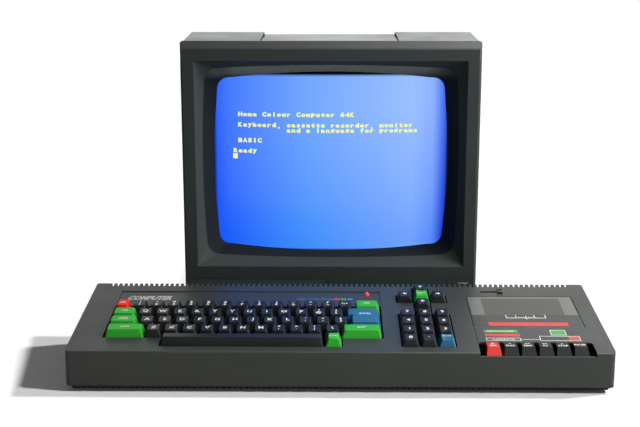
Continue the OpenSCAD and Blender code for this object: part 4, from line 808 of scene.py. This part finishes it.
# Tape counter: a black frame with three black number wheels, white figures
# printed round their rims, and a button that sets them to nought.
frame_and_wheels, tree, place = finish("counter_frame_and_wheels")
grains = add(tree, "TexNoise", {"Vector": place, "Scale": 1200.0, "Detail": 2.0})
dark = add(tree, "Mix", {0: grains, 6: linear("1a1a1b"), 7: linear("242425")}, data_type="RGBA")
relief = add(tree, "Bump", {"Height": grains, "Strength": 0.3, "Distance": 0.00003})
counter_plastic = add(tree, "BsdfPrincipled", {"Base Color": dark, "Roughness": 0.5, "Normal": relief})
add(tree, "OutputMaterial", {"Surface": counter_plastic})
dress(frame_and_wheels, "tape_counter", "counter_units_wheel")

wheel_r, wheel_s, wheel_h, wheel_x, wheel_pitch = 5.5, 148.5, -9.0, 167.2, 5.6
figure_step = 2 * math.pi * wheel_r / 10


def round_wheel(points):
    """Wheel's rim to room: (x, y along the rim, height off it) in mm. In the deck frame x stays, s is the
    wheel's middle plus (r + height) sin(y / r), and h is its middle plus (r + height) cos(y / r)."""
    x, y, h = np.moveaxis(np.asarray(points, float), -1, 0)
    out, turn = wheel_r + h, y / wheel_r
    return on_deck(np.stack([x, wheel_s + out * np.sin(turn), wheel_h + out * np.cos(turn)], -1))


for name, body, wheels in (("counter_upper_figures", "computer", (0, 1)),
                           ("counter_units_figures", "counter_units_wheel", (2,))):
    figures = [(str(k), wheel_x + wheel_pitch * i, k * figure_step, 2.6, 1.1, level(0.0))
               for i in wheels for k in range(10)]
    lettering(name, ink_white, body, figures, round_wheel)

# ---------- Monitor ----------
# The front frame and the rear shell are charcoal ABS mouldings, clipped
# together behind the rim. The shell is lighter, coarser in grain and glossier.

# The frame's crest is rubbed to a gloss, and its mouth is etched dull and painted a lighter grey, a painted
# light falling into it. The band round the tube is black, and along its top it is painted pale grey, a
# painted reflection of the bright table below. In metres: where each begins, and how far the painted
# reflection reaches.
mouth_front, mouth_top, band_front = -0.0888, 0.3309, -0.0655
reflection_low, reflection_full, reflection_half, reflection_end = 0.306, 0.314, 0.115, 0.148
monitor_x = -0.010
frame_abs, tree, place = finish("moulded_abs_monitor_frame")
where = add(tree, "SeparateXYZ", {"Vector": place})
behind = add(tree, "MapRange", {
    "Value": where.outputs["Y"], "From Min": mouth_front, "From Max": mouth_front + 0.001})
under = add(tree, "MapRange", {
    "Value": where.outputs["Z"], "From Min": mouth_top, "From Max": mouth_top + 0.0006,
    "To Min": 1.0, "To Max": 0.0})
deep = add(tree, "Math", {0: behind, 1: under}, operation="MULTIPLY")
inner = add(tree, "MapRange", {
    "Value": where.outputs["Y"], "From Min": band_front, "From Max": band_front + 0.001})
grains = add(tree, "TexNoise", {"Vector": place, "Scale": 1100.0, "Detail": 2.0, "Roughness": 0.6})
patches = add(tree, "TexNoise", {"Vector": place, "Scale": 13.0, "Detail": 5.0, "Roughness": 0.6})
tone = add(tree, "Mix", {0: patches, 6: linear("1f2524"), 7: linear("29302f")}, data_type="RGBA")
# Painted light: behind the front face and below the mouth's top, the frame is a lighter grey, standing in for
# light falling into the mouth.
mouth = add(tree, "Mix", {0: deep, 6: tone, 7: linear("39413f")}, data_type="RGBA")
# Painted reflection: the band round the tube is pale grey along its top, less so towards its ends, as if it
# mirrored the bright table below.
upward = add(tree, "MapRange", {"Value": where.outputs["Z"], "From Min": reflection_low, "From Max": reflection_full})
off_middle = add(tree, "Math", {0: where.outputs["X"], 1: monitor_x}, operation="SUBTRACT")
aside = add(tree, "Math", {0: off_middle}, operation="ABSOLUTE")
inward = add(tree, "MapRange", {
    "Value": aside, "From Min": reflection_half, "From Max": reflection_end, "To Min": 1.0, "To Max": 0.12})
painted_reflection_mask = add(tree, "Math", {0: upward, 1: inward}, operation="MULTIPLY")
band_with_painted_reflection = add(tree, "Mix", {0: painted_reflection_mask, 6: linear("1e2222"), 7: linear("868e8c")}, data_type="RGBA")
band = add(tree, "Mix", {0: inner, 6: mouth, 7: band_with_painted_reflection}, data_type="RGBA")
dull = add(tree, "MapRange", {"Value": deep, "To Min": 0.5, "To Max": 0.8})
crest = add(tree, "Math", {0: behind, 1: deep}, operation="SUBTRACT")
etched = add(tree, "MapRange", {"Value": deep, "To Min": 0.28, "To Max": 0.08})
gleam = add(tree, "Math", {0: crest, 1: 0.45, 2: etched}, operation="MULTIPLY_ADD")
relief = add(tree, "Bump", {"Height": grains, "Strength": 0.5, "Distance": 0.00003})
plastic = add(tree, "BsdfPrincipled", {
    "Base Color": band, "Roughness": dull, "Specular IOR Level": gleam, "IOR": 1.54, "Normal": relief})
add(tree, "OutputMaterial", {"Surface": plastic})
shell_abs = worn("moulded_abs_monitor_shell", "292e2d", "323736", 0.36, 1.2, 0.03, 0.7)
dress(frame_abs, "monitor_bezel")
dress(shell_abs, "monitor_rear_shell")
dress(key_black, "monitor_power_button", "brightness_wheel")

# The picture tube is a lead-glass bulb: clear and dark at the face, and coated
# on the funnel with matt black graphite.
coat_front, coat_full = -0.012, -0.004
bulb, tree, place = finish("tube_glass_and_graphite")
where = add(tree, "SeparateXYZ", {"Vector": place})
funnel = add(tree, "MapRange", {"Value": where.outputs["Y"], "From Min": coat_front, "From Max": coat_full})
dabs = add(tree, "TexNoise", {"Vector": place, "Scale": 140.0, "Detail": 4.0})
coat = add(tree, "Mix", {0: dabs, 6: linear("131314"), 7: linear("1f1f20")}, data_type="RGBA")
tone = add(tree, "Mix", {0: funnel, 6: linear("23282a"), 7: coat}, data_type="RGBA")
dull = add(tree, "MapRange", {"Value": funnel, "To Min": 0.08, "To Max": 0.75})
glass = add(tree, "BsdfPrincipled", {"Base Color": tone, "Roughness": dull, "IOR": 1.54})
add(tree, "OutputMaterial", {"Surface": glass})
dress(bulb, "picture_tube")
dress(zinc_steel, "tube_band")

# Yoke: enamelled copper wire, shiny and brown, whose turns are drawn coarser
# than the real ones so that they show. The transformer and the grommets are
# black like the sockets.
windings, tree, place = finish("enamelled_copper_windings")
turns = add(tree, "TexWave", {"Vector": place, "Scale": 110.0, "Distortion": 1.0}, bands_direction="DIAGONAL")
tone = add(tree, "Mix", {0: turns.outputs["Fac"], 6: linear("6e3418"), 7: linear("b4622e")}, data_type="RGBA")
relief = add(tree, "Bump", {"Height": turns.outputs["Fac"], "Strength": 0.6, "Distance": 0.0005})
copper = add(tree, "BsdfPrincipled", {
    "Base Color": tone, "Metallic": 0.7, "Roughness": 0.35, "Normal": relief})
add(tree, "OutputMaterial", {"Surface": copper})
dress(windings, "deflection_yoke")
dress(nylon, "flyback_transformer", "lead_grommets")

# The lit face is a thin phosphor layer just in front of the glass: blue, deepest low on the left, palest high
# on the right and deep again along the right edge. The paler upper right is partly the tube's own uneven glow
# and partly a painted reflection on the glass.
monitor_front, glass_depth, film = -89.0, 38.0, 0.15
screen_x, screen_z, glass_r = -10.0, 202.75, 620.0
half_w, half_h, bow, layer_t = 148.5, 114.0, 3.0, 0.2


def on_glass(x, z, lift=0.0):
    """y of the glass's sphere at x and z, in mm, lifted towards the viewer: its foremost point, plus its
    radius, less the root of the radius squared less x squared and z squared from the screen's middle."""
    radius = glass_r + lift
    foremost = monitor_front + glass_depth - film - lift
    return foremost + radius - np.sqrt(radius ** 2 - (x - screen_x) ** 2 - (z - screen_z) ** 2)


u, v = np.meshgrid(np.linspace(-1, 1, 61), np.linspace(-1, 1, 47))
face_x = screen_x + u * (half_w - bow * v ** 2)
face_z = screen_z + v * (half_h - bow * u ** 2)
front = np.stack([face_x, on_glass(face_x, face_z), face_z], -1) / 1000
index = np.arange(u.size).reshape(u.shape)
quads = np.stack([index[:-1, :-1], index[:-1, 1:], index[1:, 1:], index[1:, :-1]], -1).reshape(-1, 4).tolist()

# The phosphor: two rows of colour stops across, low and high on the screen, in
# fine stripes, within a picture that ends in rounded corners. As plain light it
# gives little, so that it doesn't flood the frame.
low_stops = (
    (0.0, "1450fa"), (0.06, "1a5efc"), (0.4, "3e8efd"), (0.85, "70a2fd"), (0.94, "588cfc"), (0.985, "1e3ed2"))
high_stops = (
    (0.0, "2860f6"), (0.06, "4278fe"), (0.4, "70a6fd"), (0.85, "98befe"), (0.94, "8cb0fe"), (0.985, "4470f6"))
picture_w, picture_h, corner_power = 0.1425, 0.1083, 14.0
phosphor, tree, place = finish("lit_phosphor_behind_glass")
centred = add(tree, "Mapping", {"Vector": place, "Location": (-monitor_x, 0.0, -screen_z / 1000)})
where = add(tree, "SeparateXYZ", {"Vector": centred})
across = add(tree, "MapRange", {"Value": where.outputs["X"], "From Min": -0.143, "From Max": 0.143})
upward = add(tree, "MapRange", {"Value": where.outputs["Z"], "From Min": -0.095, "From Max": 0.07})
tones = []
for stops in (low_stops, high_stops):
    ramp = add(tree, "ValToRGB", {"Fac": across})
    for k, (at, code) in enumerate(stops):
        stop = ramp.color_ramp.elements[k] if k < 2 else ramp.color_ramp.elements.new(at)
        stop.position, stop.color = at, linear(code)
    tones.append(ramp)
blue = add(tree, "Mix", {0: upward, 6: tones[0], 7: tones[1]}, data_type="RGBA")
far = []
for axis, half in (("X", picture_w), ("Z", picture_h)):
    reach = add(tree, "Math", {0: where.outputs[axis], 1: half}, operation="DIVIDE")
    size = add(tree, "Math", {0: reach}, operation="ABSOLUTE")
    far.append(add(tree, "Math", {0: size, 1: corner_power}, operation="POWER"))
out = add(tree, "Math", {0: far[0], 1: far[1]}, operation="ADD")
raster = add(tree, "MapRange", {
    "Value": out, "From Min": 0.75, "From Max": 1.15, "To Min": 1.0, "To Max": 0.0})
stripes = add(tree, "TexWave", {"Vector": place, "Scale": 260.0}, bands_direction="X")
striped = add(tree, "MapRange", {"Value": stripes.outputs["Fac"], "To Min": 0.96, "To Max": 1.04})
steady = add(tree, "Math", {0: raster, 1: striped}, operation="MULTIPLY")
path = add(tree, "LightPath")
share = add(tree, "MapRange", {"Value": path.outputs["Is Diffuse Ray"], "To Min": 1.0, "To Max": 0.03})
power = add(tree, "Math", {0: steady, 1: share}, operation="MULTIPLY")
lit_glass = add(tree, "BsdfPrincipled", {
    "Base Color": linear("0c1012"), "Roughness": 0.2, "IOR": 1.52, "Specular IOR Level": 0.3,
    "Emission Color": blue, "Emission Strength": power})
add(tree, "OutputMaterial", {"Surface": lit_glass})

screen_face = made("screen_face", front, quads, phosphor, "computer")
layer = screen_face.modifiers.new("layer", "SOLIDIFY")
layer.thickness = layer_t / 1000
layer.offset = -1.0

# Yellow characters on the screen, one to a cell 5.95 mm wide, with the thick
# soft strokes of a television picture; the square is the cursor.
glowing, tree, place = finish("lit_phosphor_yellow")
flicker = add(tree, "TexNoise", {"Vector": place, "Scale": 400.0, "Detail": 1.0})
tone = add(tree, "Mix", {0: flicker, 6: linear("ecf87e"), 7: linear("f8fcae")}, data_type="RGBA")
dots = add(tree, "BsdfPrincipled", {
    "Base Color": linear("202010"), "Roughness": 0.3, "Emission Color": tone, "Emission Strength": 1.0})
add(tree, "OutputMaterial", {"Surface": dots})


def on_screen(points):
    """Screen frame to room: (x, z, height off the glass) in mm, wrapped on the sphere of the face."""
    x, z, h = np.moveaxis(np.asarray(points, float), -1, 0)
    return np.stack([x, on_glass(x, z, h), z], -1) / 1000


# Letters with tails hang below their line by so many mm.
cell, line_pitch, text_left, base_line = 5.95, 6.35, -129.6, 260.7
capital_h, widest, most_stretch, glow_sunk, glow_proud = 5.0, 5.3, 1.35, 0.1, 0.06
hanging = {"g": -0.9, "y": -0.9, "p": -0.9, "q": -0.9, "j": -0.9, ",": -2.2}
shapes = []
for column, row, text in ((1, 0, "Home Colour Computer 64K"), (1, 2, "Keyboard, cassette recorder, monitor"),
                          (11, 3, "and a language for programs"), (1, 5, "BASIC"), (0, 7, "Ready")):
    for i, character in enumerate(text):
        if character == " ":
            continue
        flat, polygons = word(character, 0.085)
        wide, tall = np.ptp(flat[:, :2], 0) * capital_h
        stretch = min(widest / wide, most_stretch)
        across = text_left + (column + i + 0.5) * cell + flat[:, 0] * capital_h * stretch
        mid_z = base_line - row * line_pitch + tall / 2 + hanging.get(character, 0.0)
        out = np.where(flat[:, 2] > 0, glow_proud, -glow_sunk)
        shapes.append((np.stack([across, mid_z + flat[:, 1] * capital_h, out], -1), polygons))
square = ring(block(text_left - 0.5, text_left + 5.4, 209.0, 215.2), 0, 0, 0.3, 3, 1)
levels = [np.column_stack([square, np.full(len(square), z)]) for z in (-glow_sunk, glow_proud)]
shapes.append(skin(np.array([levels])))
points, faces = gather(shapes)
screen_text = made("screen_text", on_screen(points), faces, glowing, "computer")


def on_front(points):
    """Monitor's front plane to room: (x, z, height off it) in mm."""
    x, z, h = np.moveaxis(np.asarray(points, float), -1, 0)
    return np.stack([x, monitor_front - h, z], -1) / 1000


lettering("monitor_power_label", ink_silver, "computer", [("power", 151.0, 63.6, 2.9, 1.1, level(0.0))],
          on_front)

# The lit pieces throw no shadow on the table either.
leave_out(spared, (screen_face, screen_text))
